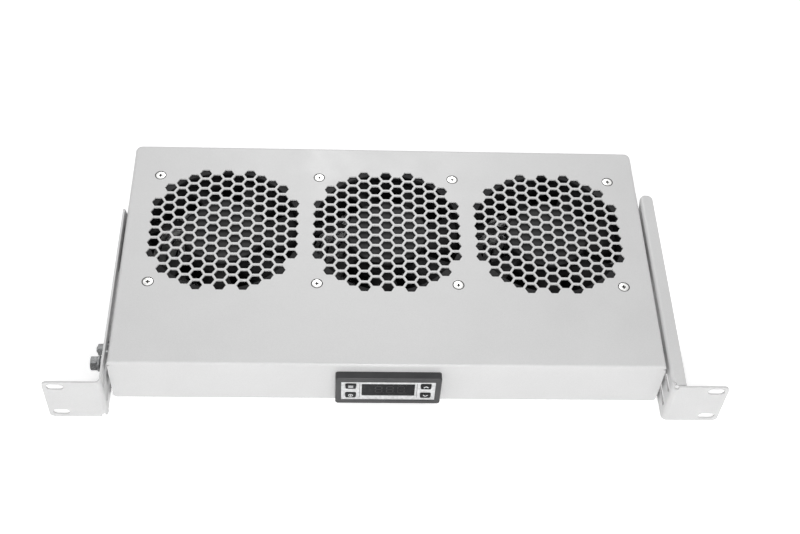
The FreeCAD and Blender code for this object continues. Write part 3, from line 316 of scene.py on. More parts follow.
def moulded_group():
    """Moulded plastic or rubber: spark-eroded grain and a faint flow tone."""
    group, given, out = new_group("Moulded Grain", [("Colour", "Color", (0.05, 0.05, 0.05, 1)),
                                                    ("Grain", "Float", 0.0004),
                                                    ("Roughness", "Float", 0.5)], SURFACE)
    place = object_place(group)
    grain = noise(group, place, scale_for(group, given.outputs["Grain"]), 3.0, Roughness=0.6)
    flow = noise(group, place, 35.0, 2.0, Distortion=0.6)
    pale = blend_colours(group, 0.10, given.outputs["Colour"], (0.8, 0.8, 0.8, 1))
    share = math_node(group, "MULTIPLY", stretch(group, flow, 0.35, 0.7, 0.0, 0.5),
                      stretch(group, grain, 0.3, 0.7, 0.2, 1.0))
    group.links.new(blend_colours(group, share, given.outputs["Colour"], pale), out.inputs["Colour"])
    uneven_gloss(group, given, out, grain, -0.07, 0.09)
    group.links.new(grain, out.inputs["Height"])
    return group


class Shelf:
    """The node groups and finishes made so far, by name."""
    groups = {}
    finishes = {}


def place_group(tree, name, values):
    """A node group in a tree, built when it is first asked for."""
    makers = {"Powder Coat": powder_group, "Drawn Metal": drawn_group, "Moulded Grain": moulded_group,
              "Handling Marks": handling_group, "Settled Dust": dust_group}
    if name not in Shelf.groups:
        Shelf.groups[name] = makers[name]()
    node = tree.nodes.new("ShaderNodeGroup")
    node.node_tree = Shelf.groups[name]
    return set_inputs(tree, node, values)


# ---- the finishes -------------------------------------------------------------------------

def rgba(colour):
    return (*colour[:3], 1.0)


def finish(name, base, values, metallic=0.0, bump=0.1, bump_reach=0.0002, dust=0.0, marks=0.0, **constants):
    """A material on one of the base groups, with handling marks and dust laid over it."""
    if name in Shelf.finishes:
        return Shelf.finishes[name]
    material = bpy.data.materials.new(name)
    material.use_nodes = True
    tree = material.node_tree
    shader = tree.nodes["Principled BSDF"]
    surface = place_group(tree, base, values)
    colour, rough = surface.outputs["Colour"], surface.outputs["Roughness"]
    if marks:
        worn = place_group(tree, "Handling Marks", {"Amount": marks})
        dulled = math_node(tree, "MULTIPLY", worn.outputs["Smudge"], 0.18)
        rough = math_node(tree, "ADD", rough, dulled, True)
        scratched = math_node(tree, "MULTIPLY", worn.outputs["Scratch"], 0.25)
        colour = blend_colours(tree, scratched, colour, SCRATCH_GREY)
    if dust:
        settled = place_group(tree, "Settled Dust", {"Amount": dust}).outputs["Mask"]
        colour = blend_colours(tree, settled, colour, DUST_GREY)
        rough = math_node(tree, "ADD", rough, math_node(tree, "MULTIPLY", settled, 0.3), True)
    bumps = add_node(tree, "Bump", {"Strength": bump, "Distance": bump_reach,
                                    "Height": surface.outputs["Height"]})
    set_inputs(tree, shader, {"Base Color": colour, "Roughness": rough, "Normal": bumps.outputs[0],
                              "Metallic": metallic})
    for socket, value in constants.items():
        shader.inputs[socket.replace("_", " ")].default_value = value
    Shelf.finishes[name] = material
    return material


def metal(name, colour, roughness, lines=(1.0, 1.0, 0.05), width=0.0003, metallic=1.0, **more):
    """Metal with fine lines along the axis that has the small share."""
    return finish(name, "Drawn Metal", {"Colour": rgba(colour), "Roughness": roughness,
                                        "Line Stretch": lines, "Line Width": width},
                  metallic=metallic, **more)


def moulded(name, colour, roughness, grain=0.0004, **more):
    """Plastic, paint or print with a fine grain."""
    return finish(name, "Moulded Grain", {"Colour": rgba(colour), "Roughness": roughness, "Grain": grain},
                  **more)


# Finishes that no setting changes: kind, colour, roughness and what else differs.
PLAIN_FINISHES = {
    "bright zinc plate": (metal, (0.30, 0.305, 0.31), 0.22,
                          {"lines": (0.2, 1.0, 1.0), "bump": 0.15, "marks": 0.5}),
    "passivated screw": (metal, (0.62, 0.58, 0.42), 0.35, {}),
    "ground steel": (metal, (0.56, 0.56, 0.58), 0.24, {}),
    "stainless sleeve": (metal, (0.58, 0.58, 0.58), 0.26, {"lines": (0.05, 1.0, 1.0)}),
    "motor laminations": (metal, (0.32, 0.31, 0.30), 0.5,
                          {"lines": (0.02, 0.02, 1.0), "width": 0.0005, "metallic": 0.9, "bump": 0.6}),
    "enamelled copper": (metal, (0.62, 0.24, 0.10), 0.3,
                         {"lines": (0.05, 0.05, 1.0), "width": 0.0005, "metallic": 0.9, "bump": 0.8}),
    "nickelled brass": (metal, (0.66, 0.60, 0.46), 0.25, {"lines": (1.0, 0.05, 1.0), "bump": 0.08}),
    "foil label": (metal, (0.60, 0.60, 0.58), 0.35,
                   {"lines": (0.03, 1.0, 1.0), "width": 0.00015, "metallic": 0.6, "bump": 0.04}),
    "inlet moulding": (moulded, (0.02, 0.02, 0.021), 0.38, {"bump": 0.12, "marks": 0.3}),
    "key plastic": (moulded, (0.010, 0.010, 0.011), 0.5,
                    {"grain": 0.0003, "bump": 0.12, "Specular_IOR_Level": 0.12}),
    "switch plastic": (moulded, (0.03, 0.03, 0.03), 0.5, {}),
    "circuit laminate": (moulded, (0.03, 0.16, 0.06), 0.3, {"grain": 0.0009, "bump": 0.15}),
    "relay shell": (moulded, (0.02, 0.09, 0.34), 0.35, {"bump": 0.08}),
    "terminal moulding": (moulded, (0.05, 0.26, 0.10), 0.45, {}),
    "clip moulding": (moulded, (0.70, 0.20, 0.03), 0.42, {}),
    "white nylon": (moulded, (0.70, 0.69, 0.63), 0.4,
                    {"grain": 0.0008, "bump": 0.08, "Subsurface_Weight": 0.05}),
    "white key print": (moulded, (0.82, 0.83, 0.84), 0.5, {"grain": 0.0002, "bump": 0.05}),
    # also used for the painted shade strips beside the thermostat's ribs
    "grey print and painted shade": (moulded, (0.22, 0.22, 0.23), 0.5, {"grain": 0.0002, "bump": 0.05}),
    "unlit segment": (moulded, (0.018, 0.017, 0.018), 0.3,
                      {"grain": 0.0003, "bump": 0.02, "Specular_IOR_Level": 0.15}),
}


def plain(name):
    """One of the finishes that no setting changes."""
    kind, colour, roughness, more = PLAIN_FINISHES[name]
    return kind(name, colour, roughness, **more)


def laid_over(material, mask, colour):
    """Lays a colour over a finish where the mask is 1."""
    tree = material.node_tree
    base = tree.nodes["Principled BSDF"].inputs["Base Color"]
    tree.links.new(blend_colours(tree, mask, base.links[0].from_socket, colour), base)
    return material


def powder_coat():
    """Powder coat, with painted shade in a ring round each countersunk head, where the gap's shadow falls."""
    coat = bpy.context.scene.tray_coat
    if "tray powder coat" in Shelf.finishes:
        return Shelf.finishes["tray powder coat"]
    material = finish("tray powder coat", "Powder Coat",
                      {"Colour": rgba(coat.colour), "Grain": coat.grain, "Roughness": coat.roughness},
                      bump=coat.depth, bump_reach=0.0003, marks=0.25, Specular_IOR_Level=0.45)
    tree = material.node_tree
    place = object_place(tree)
    nearest = None
    for low, high in solid_boxes("fan_screws"):
        head = ((low.x + high.x) / 2, (low.y + high.y) / 2, high.z)
        away = add_node(tree, "VectorMath", {0: place, 1: head}, operation="DISTANCE").outputs["Value"]
        nearest = away if nearest is None else math_node(tree, "MINIMUM", nearest, away)
    # painted shade: the coat goes black in a ring round each screw head, where the gap's shadow would fall
    return laid_over(material, stretch(tree, nearest, 0.00435, 0.0045, 1.0, 0.0), PAINTED_GAP_SHADE)


def screw_steel():
    """Bright screw heads, with painted shade in the cross recess and round the rim."""
    if "nickelled screw" in Shelf.finishes:
        return Shelf.finishes["nickelled screw"]
    material = metal("nickelled screw", (0.84, 0.84, 0.83), 0.26, lines=(1.0, 1.0, 0.3), bump=0.12, marks=0.4)
    tree = material.node_tree
    facing = add_node(tree, "SeparateXYZ", {0: object_normal(tree)})
    steep = stretch(tree, facing.outputs["Z"], 0.80, 0.96, 1.0, 0.0)
    height = add_node(tree, "SeparateXYZ", {0: object_place(tree)}).outputs["Z"]
    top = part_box("fan_screws")[1].z
    sunk = stretch(tree, height, top - 0.0004, top - 0.0002, 1.0, 0.0)
    head = stretch(tree, height, top - 0.0021, top - 0.0019)
    # painted shade on the steep and sunken faces of the head: the recess walls and the rim
    painted_shade = math_node(tree, "MULTIPLY", math_node(tree, "MAXIMUM", steep, sunk), head)
    return laid_over(material, painted_shade, PAINTED_RECESS_SHADE)


def sheath(name, colour):
    return moulded(name + " sheath", colour, 0.4, grain=0.0006, bump=0.08)


def earth_sheath():
    """Green sheath with a yellow stripe along one side."""
    material = sheath("green", EARTH_GREEN)
    tree = material.node_tree
    side = add_node(tree, "VectorMath", {0: object_normal(tree), 1: (0.45, 0.45, -0.77)},
                    operation="DOT_PRODUCT")
    return laid_over(material, stretch(tree, side.outputs["Value"], 0.25, 0.32), STRIPE_YELLOW)


def dress(material, *nodes):
    """Gives CAD nodes their finish."""
    for name in nodes:
        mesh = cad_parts[name].data
        mesh.materials.clear()
        mesh.materials.append(material)


def per_fan(stem):
    return [stem + "_" + fan for fan in FANS]


# ---- modelling helpers --------------------------------------------------------------------

def nothing_selected():
    bpy.ops.object.select_all(action="DESELECT")


def picked(piece):
    """Makes a piece the only one selected, and the active one."""
    nothing_selected()
    piece.select_set(True)
    bpy.context.view_layer.objects.active = piece
    return piece


def applied(piece):
    """Puts a piece's size, place and turn into its mesh."""
    picked(piece)
    bpy.ops.object.transform_apply(location=True, rotation=True, scale=True)
    return piece


def linked(name, data):
    """A new object in the scene."""
    piece = bpy.data.objects.new(name, data)
    bpy.context.scene.collection.objects.link(piece)
    return piece


def opened(piece):
    """Opens a piece in edit mode with all of it selected."""
    picked(piece)
    bpy.ops.object.mode_set(mode="EDIT")
    bpy.ops.mesh.select_all(action="SELECT")
    return piece


def closed(piece):
    bpy.ops.object.mode_set(mode="OBJECT")
    return piece


def block(size, place=(0, 0, 0), turn=(0, 0, 0)):
    """A box of that size."""
    nothing_selected()
    bpy.ops.mesh.primitive_cube_add(size=1, location=place, rotation=turn, scale=size)
    return applied(bpy.context.object)


def hexagon(radius, depth, place=(0, 0, 0), turn=(0, 0, 0)):
    """A hexagonal rod, its radius taken over the corners."""
    nothing_selected()
    bpy.ops.mesh.primitive_cylinder_add(vertices=6, radius=radius, depth=depth, location=place,
                                        rotation=turn)
    return applied(bpy.context.object)


def select_verts(piece, test):
    """In edit mode, selects the vertices that pass, with the edges and faces between them."""
    shape = bmesh.from_edit_mesh(piece.data)
    for vert in shape.verts:
        vert.select = bool(test(vert.co))
    shape.select_flush(True)
    shape.select_flush(False)
    bmesh.update_edit_mesh(piece.data)


def set_in_place(piece, place=(0, 0, 0), turn=(0, 0, 0)):
    """Turns and moves a piece, and puts that into its mesh."""
    piece.rotation_euler, piece.location = turn, place
    return applied(piece)


def another(piece, place):
    """A copy of a piece with its own mesh, moved by place."""
    return set_in_place(linked(piece.name, piece.data.copy()), place)


def joined(name, pieces):
    nothing_selected()
    for piece in pieces:
        piece.select_set(True)
    bpy.context.view_layer.objects.active = pieces[0]
    if len(pieces) > 1:
        bpy.ops.object.join()
    whole = bpy.context.view_layer.objects.active
    whole.name = whole.data.name = name
    return whole


def cleaned(piece):
    """Merges doubled points and dissolves the slivers that a cut leaves."""
    opened(piece)
    bpy.ops.mesh.remove_doubles(threshold=2e-6)
    bpy.ops.mesh.dissolve_degenerate(threshold=2e-6)
    bpy.ops.mesh.normals_make_consistent(inside=False)
    return closed(piece)


def cut_with(piece, tool, operation="DIFFERENCE"):
    """Cuts a piece with a tool, or keeps what they share, and removes the tool."""
    picked(piece)
    cut = piece.modifiers.new("cut", "BOOLEAN")
    cut.operation, cut.object, cut.solver = operation, tool, "EXACT"
    bpy.ops.object.modifier_apply(modifier=cut.name)
    bpy.data.objects.remove(tool)
    return cleaned(piece)


def turned(name, profile, steps=36):
    """A turned piece about Z: one point is extruded along (radius, height) places and spun."""
    nothing_selected()
    bpy.ops.mesh.primitive_plane_add(size=0.001)
    piece = opened(bpy.context.object)
    piece.name = name
    bpy.ops.mesh.merge(type="CENTER")
    radius, height = profile[0]
    bpy.ops.transform.translate(value=(radius, 0, height))
    for wide, high in profile[1:]:
        step = (wide - radius, 0, high - height)
        bpy.ops.mesh.extrude_region_move(TRANSFORM_OT_translate={"value": step})
        radius, height = wide, high
    bpy.ops.mesh.select_all(action="SELECT")
    bpy.ops.mesh.spin(steps=steps, angle=2 * math.pi, center=(0, 0, 0), axis=(0, 0, 1))
    bpy.ops.mesh.select_all(action="SELECT")
    bpy.ops.mesh.remove_doubles(threshold=1e-6)
    bpy.ops.mesh.normals_make_consistent(inside=False)
    return closed(piece)


def smoothed(piece, angle=30.0):
    picked(piece)
    bpy.ops.object.shade_smooth_by_angle(angle=math.radians(angle))
    return piece


def softened(piece, width, segments=2):
    """Bevels a piece's sharp edges and smooths what is left."""
    picked(piece)
    round_over = piece.modifiers.new("edges", "BEVEL")
    round_over.width, round_over.segments = width, segments
    round_over.limit_method, round_over.angle_limit = "ANGLE", math.radians(35)
    bpy.ops.object.modifier_apply(modifier=round_over.name)
    return smoothed(piece)


def corners(piece):
    """Lowest and highest corner of a piece that sits at the origin."""
    points = [vert.co for vert in piece.data.vertices]
    return (Vector([min(p[k] for p in points) for k in range(3)]),
            Vector([max(p[k] for p in points) for k in range(3)]))


def loose_copies(node):
    """Merged copies of a CAD node's solids, one piece each, from low X to high."""
    copy = opened(linked(node + "_copy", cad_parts[node].data.copy()))
    bpy.ops.mesh.remove_doubles(threshold=1e-6)
    bpy.ops.mesh.separate(type="LOOSE")
    closed(copy)
    pieces = list(bpy.context.selected_objects)
    return sorted(pieces, key=lambda piece: tuple(round(c, 5) for c in corners(piece)[0]))


def solid_boxes(node):
    """Lowest and highest corners of each solid of a CAD node."""
    pieces = loose_copies(node)
    boxes = [corners(piece) for piece in pieces]
    for piece in pieces:
        bpy.data.objects.remove(piece)
    return boxes


def finished(piece, body, slot, material, *replaced):
    """Gives a new piece its finish and its body, and hides the CAD nodes it stands for; the slot is not used.
    """
    piece.data.materials.clear()
    piece.data.materials.append(material)
    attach(piece, body)
    if replaced:
        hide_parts(*replaced)
    return piece


# ---- fasteners ----------------------------------------------------------------------------

def threaded(radius, low, high, pitch):
    """Profile places of a thread's crests and roots, from low to high."""
    root = radius * (1 - THREAD_DEPTH)
    places, height = [], low
    while height + pitch <= high:
        places += [(root, height + pitch * 0.12), (radius, height + pitch * 0.5),
                   (root, height + pitch * 0.88)]
        height += pitch
    return places


def m4_shank(length, start):
    """Profile of an M4 shank that hangs below the origin, threaded from start to its chamfered end."""
    pitch = bpy.context.scene.tray_fasteners.thread_pitch * 0.9
    places = [(r, -h) for r, h in threaded(M4_RADIUS, start, length - THREAD_END, pitch)]
    return places + [(0.0018, -length + 0.0005), (0.0013, -length), (0, -length)]


def cross_driver(reach, width, depth):
    """The two tapered wedges that cut a cross recess, mouth at the origin and pointing down."""
    wedges = []
    for turn in (0, math.pi / 2):
        wedge = block((2 * reach, width, depth * 1.2), (0, 0, -depth * 0.4), (0, 0, turn))
        select_verts(opened(wedge), lambda co: co.z < -depth * 0.5)
        bpy.ops.transform.resize(value=(0.5, 0.5, 1))
        wedges.append(closed(wedge))
    return wedges


def with_recess(screw, width, top=0.0):
    """Cuts a cross recess into a screw whose head ends at that height."""
    for wedge in cross_driver(bpy.context.scene.tray_fasteners.recess_reach, width, RECESS_DEPTH):
        set_in_place(wedge, (0, 0, top))
        cut_with(screw, wedge)
    return smoothed(screw)


def countersunk_screw(length):
    """M4 countersunk screw with a cross recess, head up at the origin."""
    head = [(0, 0), (0.00352, 0), (0.00360, -0.00003), (0.00398, -0.00034), (M4_RADIUS, -0.0022)]
    return with_recess(turned("countersunk", head + m4_shank(length, 0.0024)), 0.0012)


def pan_head_screw(length, head):
    """M4 pan head screw with a cross recess: its head's underside at the origin, head up."""
    dome = [(0, head), (0.0020, head), (0.0030, head * 0.88), (0.0036, head * 0.62), (0.0039, head * 0.25),
            (0.0039, 0.0001), (0.0038, 0), (M4_RADIUS, 0)]
    return with_recess(turned("pan_head", dome + m4_shank(length, 0.0002)), 0.00085, head)


def hex_block(flats, height, bore=0.0):
    """Hexagon with its corners chamfered at both ends, standing on the origin, bored when asked."""
    corner, end = flats / math.sqrt(3), 0.475 * flats
    rise = (corner - end) * math.tan(math.radians(30))
    nut = hexagon(corner, height, (0, 0, height / 2))
    barrel = turned("barrel", [(0, 0), (end, 0), (corner, rise), (corner, height - rise), (end, height),
                               (0, height)], 48)
    cut_with(nut, barrel, "INTERSECT")
    if bore:
        mouth, beyond = bore * 1.12, 0.001
        lead_in = mouth - bore
        drill = turned("drill", [(0, -beyond), (mouth, -beyond), (mouth, 0), (bore, lead_in),
                                 (bore, height - lead_in), (mouth, height), (mouth, height + beyond),
                                 (0, height + beyond)])
        cut_with(nut, drill)
    return smoothed(nut)


def toothed_ring(bore, outer, thickness, teeth):
    """Lock washer: a ring with twisted teeth, its middle at the origin."""
    rim, half = bore + (outer - bore) * 0.45, thickness * 0.3
    ring = turned("ring", [(bore, -half), (rim, -half), (rim, half), (bore, half), (bore, -half)])
    width = 2 * math.pi * outer / teeth * 0.42
    parts = [ring]
    for k in range(teeth):
        tooth = block((outer - rim, width, thickness * 0.5), ((rim + outer) / 2 - 0.0001, 0, 0),
                      (math.radians(28), 0, 0))
        set_in_place(tooth, turn=(0, 0, 2 * math.pi * k / teeth))
        parts.append(softened(tooth, 0.00005))
    return smoothed(joined("toothed", parts))


def plain_ring(bore, outer, thickness):
    """Flat washer with its stamped edges rounded, standing on the origin."""
    edge = thickness * 0.2
    return smoothed(turned("washer", [(bore, 0), (outer - edge, 0), (outer, edge), (outer, thickness - edge),
                                      (outer - edge, thickness), (bore + edge / 2, thickness),
                                      (bore, thickness - edge / 2), (bore, 0)]))


def laid_outwards(piece, box, along=0.0):
    """Lays a piece that stands on the origin along X, outwards, at the middle of a solid's box."""
    side = 1 if box[0].x + box[1].x > 0 else -1
    inner = box[0].x if side > 0 else box[1].x
    place = (inner + side * along, (box[0].y + box[1].y) / 2, (box[0].z + box[1].z) / 2)
    return set_in_place(piece, place, (0, side * math.pi / 2, 0))


def bracket_nuts(node):
    """Chamfered nuts in the places of a node's nuts."""
    nuts = []
    for box in solid_boxes(node):
        height, flats = box[1].x - box[0].x, box[1].z - box[0].z
        bore = M5_BORE if flats < M5_FLATS_UNDER else M6_BORE
        nuts.append(laid_outwards(hex_block(flats, height, bore), box))
    return joined(node + "_turned", nuts)


def hex_bolt(length, flats, head, radius, pitch):
    """Bolt standing on its head, with a threaded end."""
    bolt = hex_block(flats, head)
    low, high = head + length * 0.3, head + length - THREAD_END
    profile = [(0, head * 0.5), (radius, head * 0.5), (radius, low)]
    profile += threaded(radius, low, high, pitch)
    profile += [(radius * 0.96, high), (radius * 0.72, head + length), (0, head + length)]
    return smoothed(joined("bolt", [bolt, turned("shank", profile)]))


def bracket_bolts(node):
    """Bolts in the places of a node's bolts, heads inside the tray."""
    m5_pitch = bpy.context.scene.tray_fasteners.thread_pitch
    bolts = []
    for box in solid_boxes(node):
        flats = box[1].z - box[0].z
        radius, head, pitch = M6_RADIUS, M6_HEAD, m5_pitch * 1.25
        if flats < M5_FLATS_UNDER:
            radius, head, pitch = M5_RADIUS, M5_HEAD, m5_pitch
        length = box[1].x - box[0].x - head
        bolts.append(laid_outwards(hex_bolt(length, flats, head, radius, pitch), box))
    return joined(node + "_turned", bolts)


def bracket_washers(node):
    """Washers in the places of a node's washers; the thinnest M6 one has twisted teeth."""
    rings = []
    for box in solid_boxes(node):
        thickness, outer = box[1].x - box[0].x, (box[1].z - box[0].z) / 2
        if TOOTHED_WASHER[0] < outer < TOOTHED_WASHER[1]:
            teeth = bpy.context.scene.tray_fasteners.washer_teeth
            rings.append(laid_outwards(toothed_ring(M6_BORE, outer, thickness, teeth), box, thickness / 2))
        else:
            bore = M5_BORE if outer < M5_WASHER_UNDER else M6_BORE
            rings.append(laid_outwards(plain_ring(bore, outer, thickness), box))
    return joined(node + "_turned", rings)


def copies_in(node, model, at_top):
    """Copies of a model at the top or the foot of each of a node's solids."""
    copies = []
    for low, high in solid_boxes(node):
        middle = (low + high) / 2
        copies.append(another(model, (middle.x, middle.y, high.z if at_top else low.z)))
    bpy.data.objects.remove(model)
    return joined(node + "_turned", copies)


def first_height(node):
    """Height of the first of a node's solids."""
    low, high = solid_boxes(node)[0]
    return high.z - low.z


# ---- prints and painted shade strips ------------------------------------------------------

def raised_bar(length, width, place, turn=0.0, thickness=PRINT_THICKNESS):
    """Thin bar on a face across Y, as print or as a painted shade strip, turned about Y, with its edges
    bevelled.
    """
    bar = softened(block((length, thickness, width)), thickness * 0.3, segments=1)
    return set_in_place(bar, place, (0, turn, 0))


def printed_ring(inner, outer, steps=36):
    """Flat ring about Z, as thick as a print."""
    half = PRINT_THICKNESS / 2
    return turned("ring", [(inner, -half), (outer, -half), (outer, half), (inner, half), (inner, -half)],
                  steps)


# ---- thermostat detail --------------------------------------------------------------------

def arrow_mark(place, height, up):
    """Chevron that points up or down."""
    x, y, z = place
    length, turn = height * 0.95, math.radians(44) * (1 if up else -1)
    return joined("arrow", [raised_bar(length, height * 0.3, (x + s * length * 0.29, y, z), s * turn)
                            for s in (-1, 1)])


def lines_mark(place, height):
    """Three short bars, one over another."""
    x, y, z = place
    return joined("lines", [raised_bar(height * 1.3, height * 0.2, (x, y, z + k * height * 0.38))
                            for k in (-1, 0, 1)])


def ring_mark(place, height):
    """Open ring with a bar in it."""
    ring = set_in_place(printed_ring(height * 0.42, height * 0.62), place, (math.pi / 2, 0, 0))
    return joined("ring", [ring, raised_bar(height * 0.2, height * 0.6, place)])


def key_mark(key):
    """The printed mark of one key, on the front of its cap."""
    height = bpy.context.scene.tray_thermostat.mark_height
    low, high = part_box("button_" + key)
    place = ((low.x + high.x) / 2, low.y - PRINT_LIFT, (low.z + high.z) / 2)
    if key.endswith("right"):
        mark = arrow_mark(place, height, key.startswith("upper"))
    else:
        mark = lines_mark(place, height) if key.startswith("upper") else ring_mark(place, height)
    mark.name = "key_mark_" + key
    return mark


def painted_rib_shade():
    """Grey strips on the face on both sides of the display: painted shade standing in for the shading of the
    ribs there.
    """
    low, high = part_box("thermostat_display")
    face_low, face_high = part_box("thermostat_face")
    tall, front, middle = (face_high.z - face_low.z) * 0.78, face_low.y - PRINT_LIFT, (low.z + high.z) / 2
    return joined("painted_rib_shade", [raised_bar(0.00035, tall, (edge + side * 0.0016, front, middle),
                                            thickness=RIB_SHADE_THICKNESS)
                                 for edge, side in ((low.x, -1), (high.x, 1))])


def segment(length, width, place, turn):
    """One pointed segment of a digit, on a face across Y."""
    bar = hexagon(width / 2, PRINT_THICKNESS, turn=(math.pi / 2, 0, 0))
    select_verts(opened(bar), lambda co: co.z > 0)
    bpy.ops.transform.translate(value=(0, 0, (length - width) / 2))
    select_verts(bar, lambda co: co.z < 0)
    bpy.ops.transform.translate(value=(0, 0, -(length - width) / 2))
    return set_in_place(closed(bar), place, (0, turn, 0))


def unlit_digits():
    """Seven-segment digits behind the window, with nothing lit."""
    unit = bpy.context.scene.tray_thermostat
    low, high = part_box("thermostat_display")
    front, middle = low.y - PRINT_LIFT, (low.z + high.z) / 2
    tall, wide, thick = unit.digit_height / 2, unit.digit_height * 0.5, unit.digit_height * 0.11
    reach = tall - thick / 2
    pieces = []
    for k in range(unit.digit_count):
        x = (low.x + high.x) / 2 + (k - (unit.digit_count - 1) / 2) * wide * 1.75 + wide * 0.25
        for rise in (-1, 0, 1):
            place = (x, front, middle + rise * reach)
            pieces.append(segment(wide - thick * 0.7, thick, place, math.pi / 2))
        for side in (-1, 1):
            for rise in (-1, 1):
                place = (x + side * wide / 2, front, middle + rise * reach / 2)
                pieces.append(segment(tall - thick * 1.2, thick, place, 0))
        point = (x + wide * 0.78, front, middle - tall + thick / 2)
        pieces.append(segment(thick * 1.01, thick, point, 0))
    return joined("display_digits", pieces)


# ---- fan labels and leads -----------------------------------------------------------------

def motor_label(fan):
    """Plain foil disc under the motor base of a fan, and the place of its face."""
    low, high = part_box("fan_frame_" + fan)
    middle = (low + high) / 2
    reach, half = bpy.context.scene.tray_fans.label_radius, LABEL_THICKNESS / 2
    disc = turned("motor_label_" + fan, [(0, half), (0, -half), (reach - half, -half), (reach, 0.0),
                                         (reach, half), (0, half)], 64)
    set_in_place(smoothed(disc), (middle.x, middle.y, low.z))
    return disc, (middle.x, middle.y, low.z - half)


def label_print(fan, place):
    """Two rings and short bars printed on a fan's label."""
    reach = bpy.context.scene.tray_fans.label_radius
    parts = [set_in_place(printed_ring(reach * share - 0.0005, reach * share, 64), place)
             for share in (0.93, 0.52)]
    for k in range(12):
        bar = block((reach * 0.2, 0.0006, PRINT_THICKNESS), (reach * 0.73, 0, 0))
        parts.append(set_in_place(softened(bar, PRINT_THICKNESS * 0.3, segments=1), place,
                                  (0, 0, math.pi / 6 * k)))
    return joined("label_print_" + fan, parts)


def split_leads(node, names):
    """The leads of a node as pieces of their own, named from low X to high."""
    pieces = loose_copies(node)
    for piece, name in zip(pieces, names):
        piece.name = piece.data.name = "lead_" + name
        smoothed(piece, 50)
    return pieces


# ---- stage --------------------------------------------------------------------------------

# Name, place, width, height and power of each soft light.
LIGHTS = (("front light", (0.0, -1.45, 1.0), 0.6, 0.3, 20.0),
          ("rear light", (0.0, 1.5, 1.3), 0.6, 0.6, 11.0),
          ("left light", (-1.6, 0.0, 0.16), 0.8, 0.2, 2.5),
          ("right light", (1.6, 0.0, 0.16), 0.8, 0.2, 2.5))
AIMED_AT = (0.0, 0.1, 0.0)
WORLD_LIGHT = 0.36              # on the object; what is seen of the world is 1
FLOOR_GLOW = 0.5
FLOOR_DROP = 0.0003             # under the lowest point of the tray
TRAY_FRONT = 0.015              # front wall behind the rack posts


def seen_rays(tree):
    """1 for what the camera sees directly, in a reflection or through glass."""
    path = tree.nodes.new("ShaderNodeLightPath")
    seen = math_node(tree, "MAXIMUM", path.outputs["Is Camera Ray"], path.outputs["Is Glossy Ray"])
    return math_node(tree, "MAXIMUM", seen, path.outputs["Is Transmission Ray"])


def lay_floor(size, box):
    """White paper that glows faintly to the eye, but not under the tray."""
    low, high = box
    bpy.ops.mesh.primitive_plane_add(size=size, location=(0, 0, low[2] - FLOOR_DROP))
    floor = bpy.context.object
    floor.name = "studio_floor"
    material = bpy.data.materials.new("studio floor")
    material.use_nodes = True
    tree = material.node_tree
    paper = noise(tree, object_place(tree), 300.0, 3.0)
    place = add_node(tree, "SeparateXYZ", {0: object_place(tree)})
    beside = stretch(tree, math_node(tree, "ABSOLUTE", place.outputs["X"]), 0.18, 0.20)
    from_middle = math_node(tree, "SUBTRACT", place.outputs["Y"], (high[1] + TRAY_FRONT) / 2)
    ahead = stretch(tree, math_node(tree, "ABSOLUTE", from_middle), 0.09, 0.105)
    outside = math_node(tree, "MAXIMUM", beside, ahead)
    glow = math_node(tree, "MULTIPLY", math_node(tree, "MULTIPLY", seen_rays(tree), outside), FLOOR_GLOW)
    set_inputs(tree, tree.nodes["Principled BSDF"],
               {"Roughness": stretch(tree, paper, 0.3, 0.7, 0.85, 0.95), "Base Color": (0.90, 0.90, 0.90, 1),
                "Emission Color": (1, 1, 1, 1), "Emission Strength": glow})
    floor.data.materials.append(material)


def hang_lights():
    """Low front and rear lights with weak ones at the sides, and the world."""
    for name, place, width, height, power in LIGHTS:
        light = bpy.data.lights.new(name, "AREA")
        light.shape, light.size, light.size_y, light.energy = "RECTANGLE", width, height, power
        lamp = linked(name, light)
        lamp.location = place
        lamp.rotation_euler = (Vector(AIMED_AT) - Vector(place)).to_track_quat("-Z", "Y").to_euler()
    world = bpy.data.worlds.new("studio")
    bpy.context.scene.world = world
    world.use_nodes = True
    tree = world.node_tree
    strength = stretch(tree, seen_rays(tree), 0.0, 1.0, WORLD_LIGHT, 1.0)
    set_inputs(tree, tree.nodes["Background"], {"Color": (1, 1, 1, 1), "Strength": strength})


def set_camera(stage):
    data = bpy.data.cameras.new("studio camera")
    data.lens, data.sensor_width = stage.lens, 36.0
    data.clip_start, data.clip_end = 0.01, 20.0
    camera = linked("studio camera", data)
    camera.location = stage.camera_place
    camera.rotation_euler = Euler(stage.camera_turn, "XYZ")
    bpy.context.scene.camera = camera
    bpy.context.scene.view_settings.view_transform = "Standard"


# ---- operators ----------------------------------------------------------------------------

class FANTRAY_OT_coat(bpy.types.Operator):
    """Coat the folded tray and its two brackets"""
    bl_idname = "fantray.coat"
    bl_label = "Coat tray and brackets"

    def execute(self, context):
        dress(powder_coat(), "tray_shell", "bracket_left", "bracket_right")
        return {"FINISHED"}


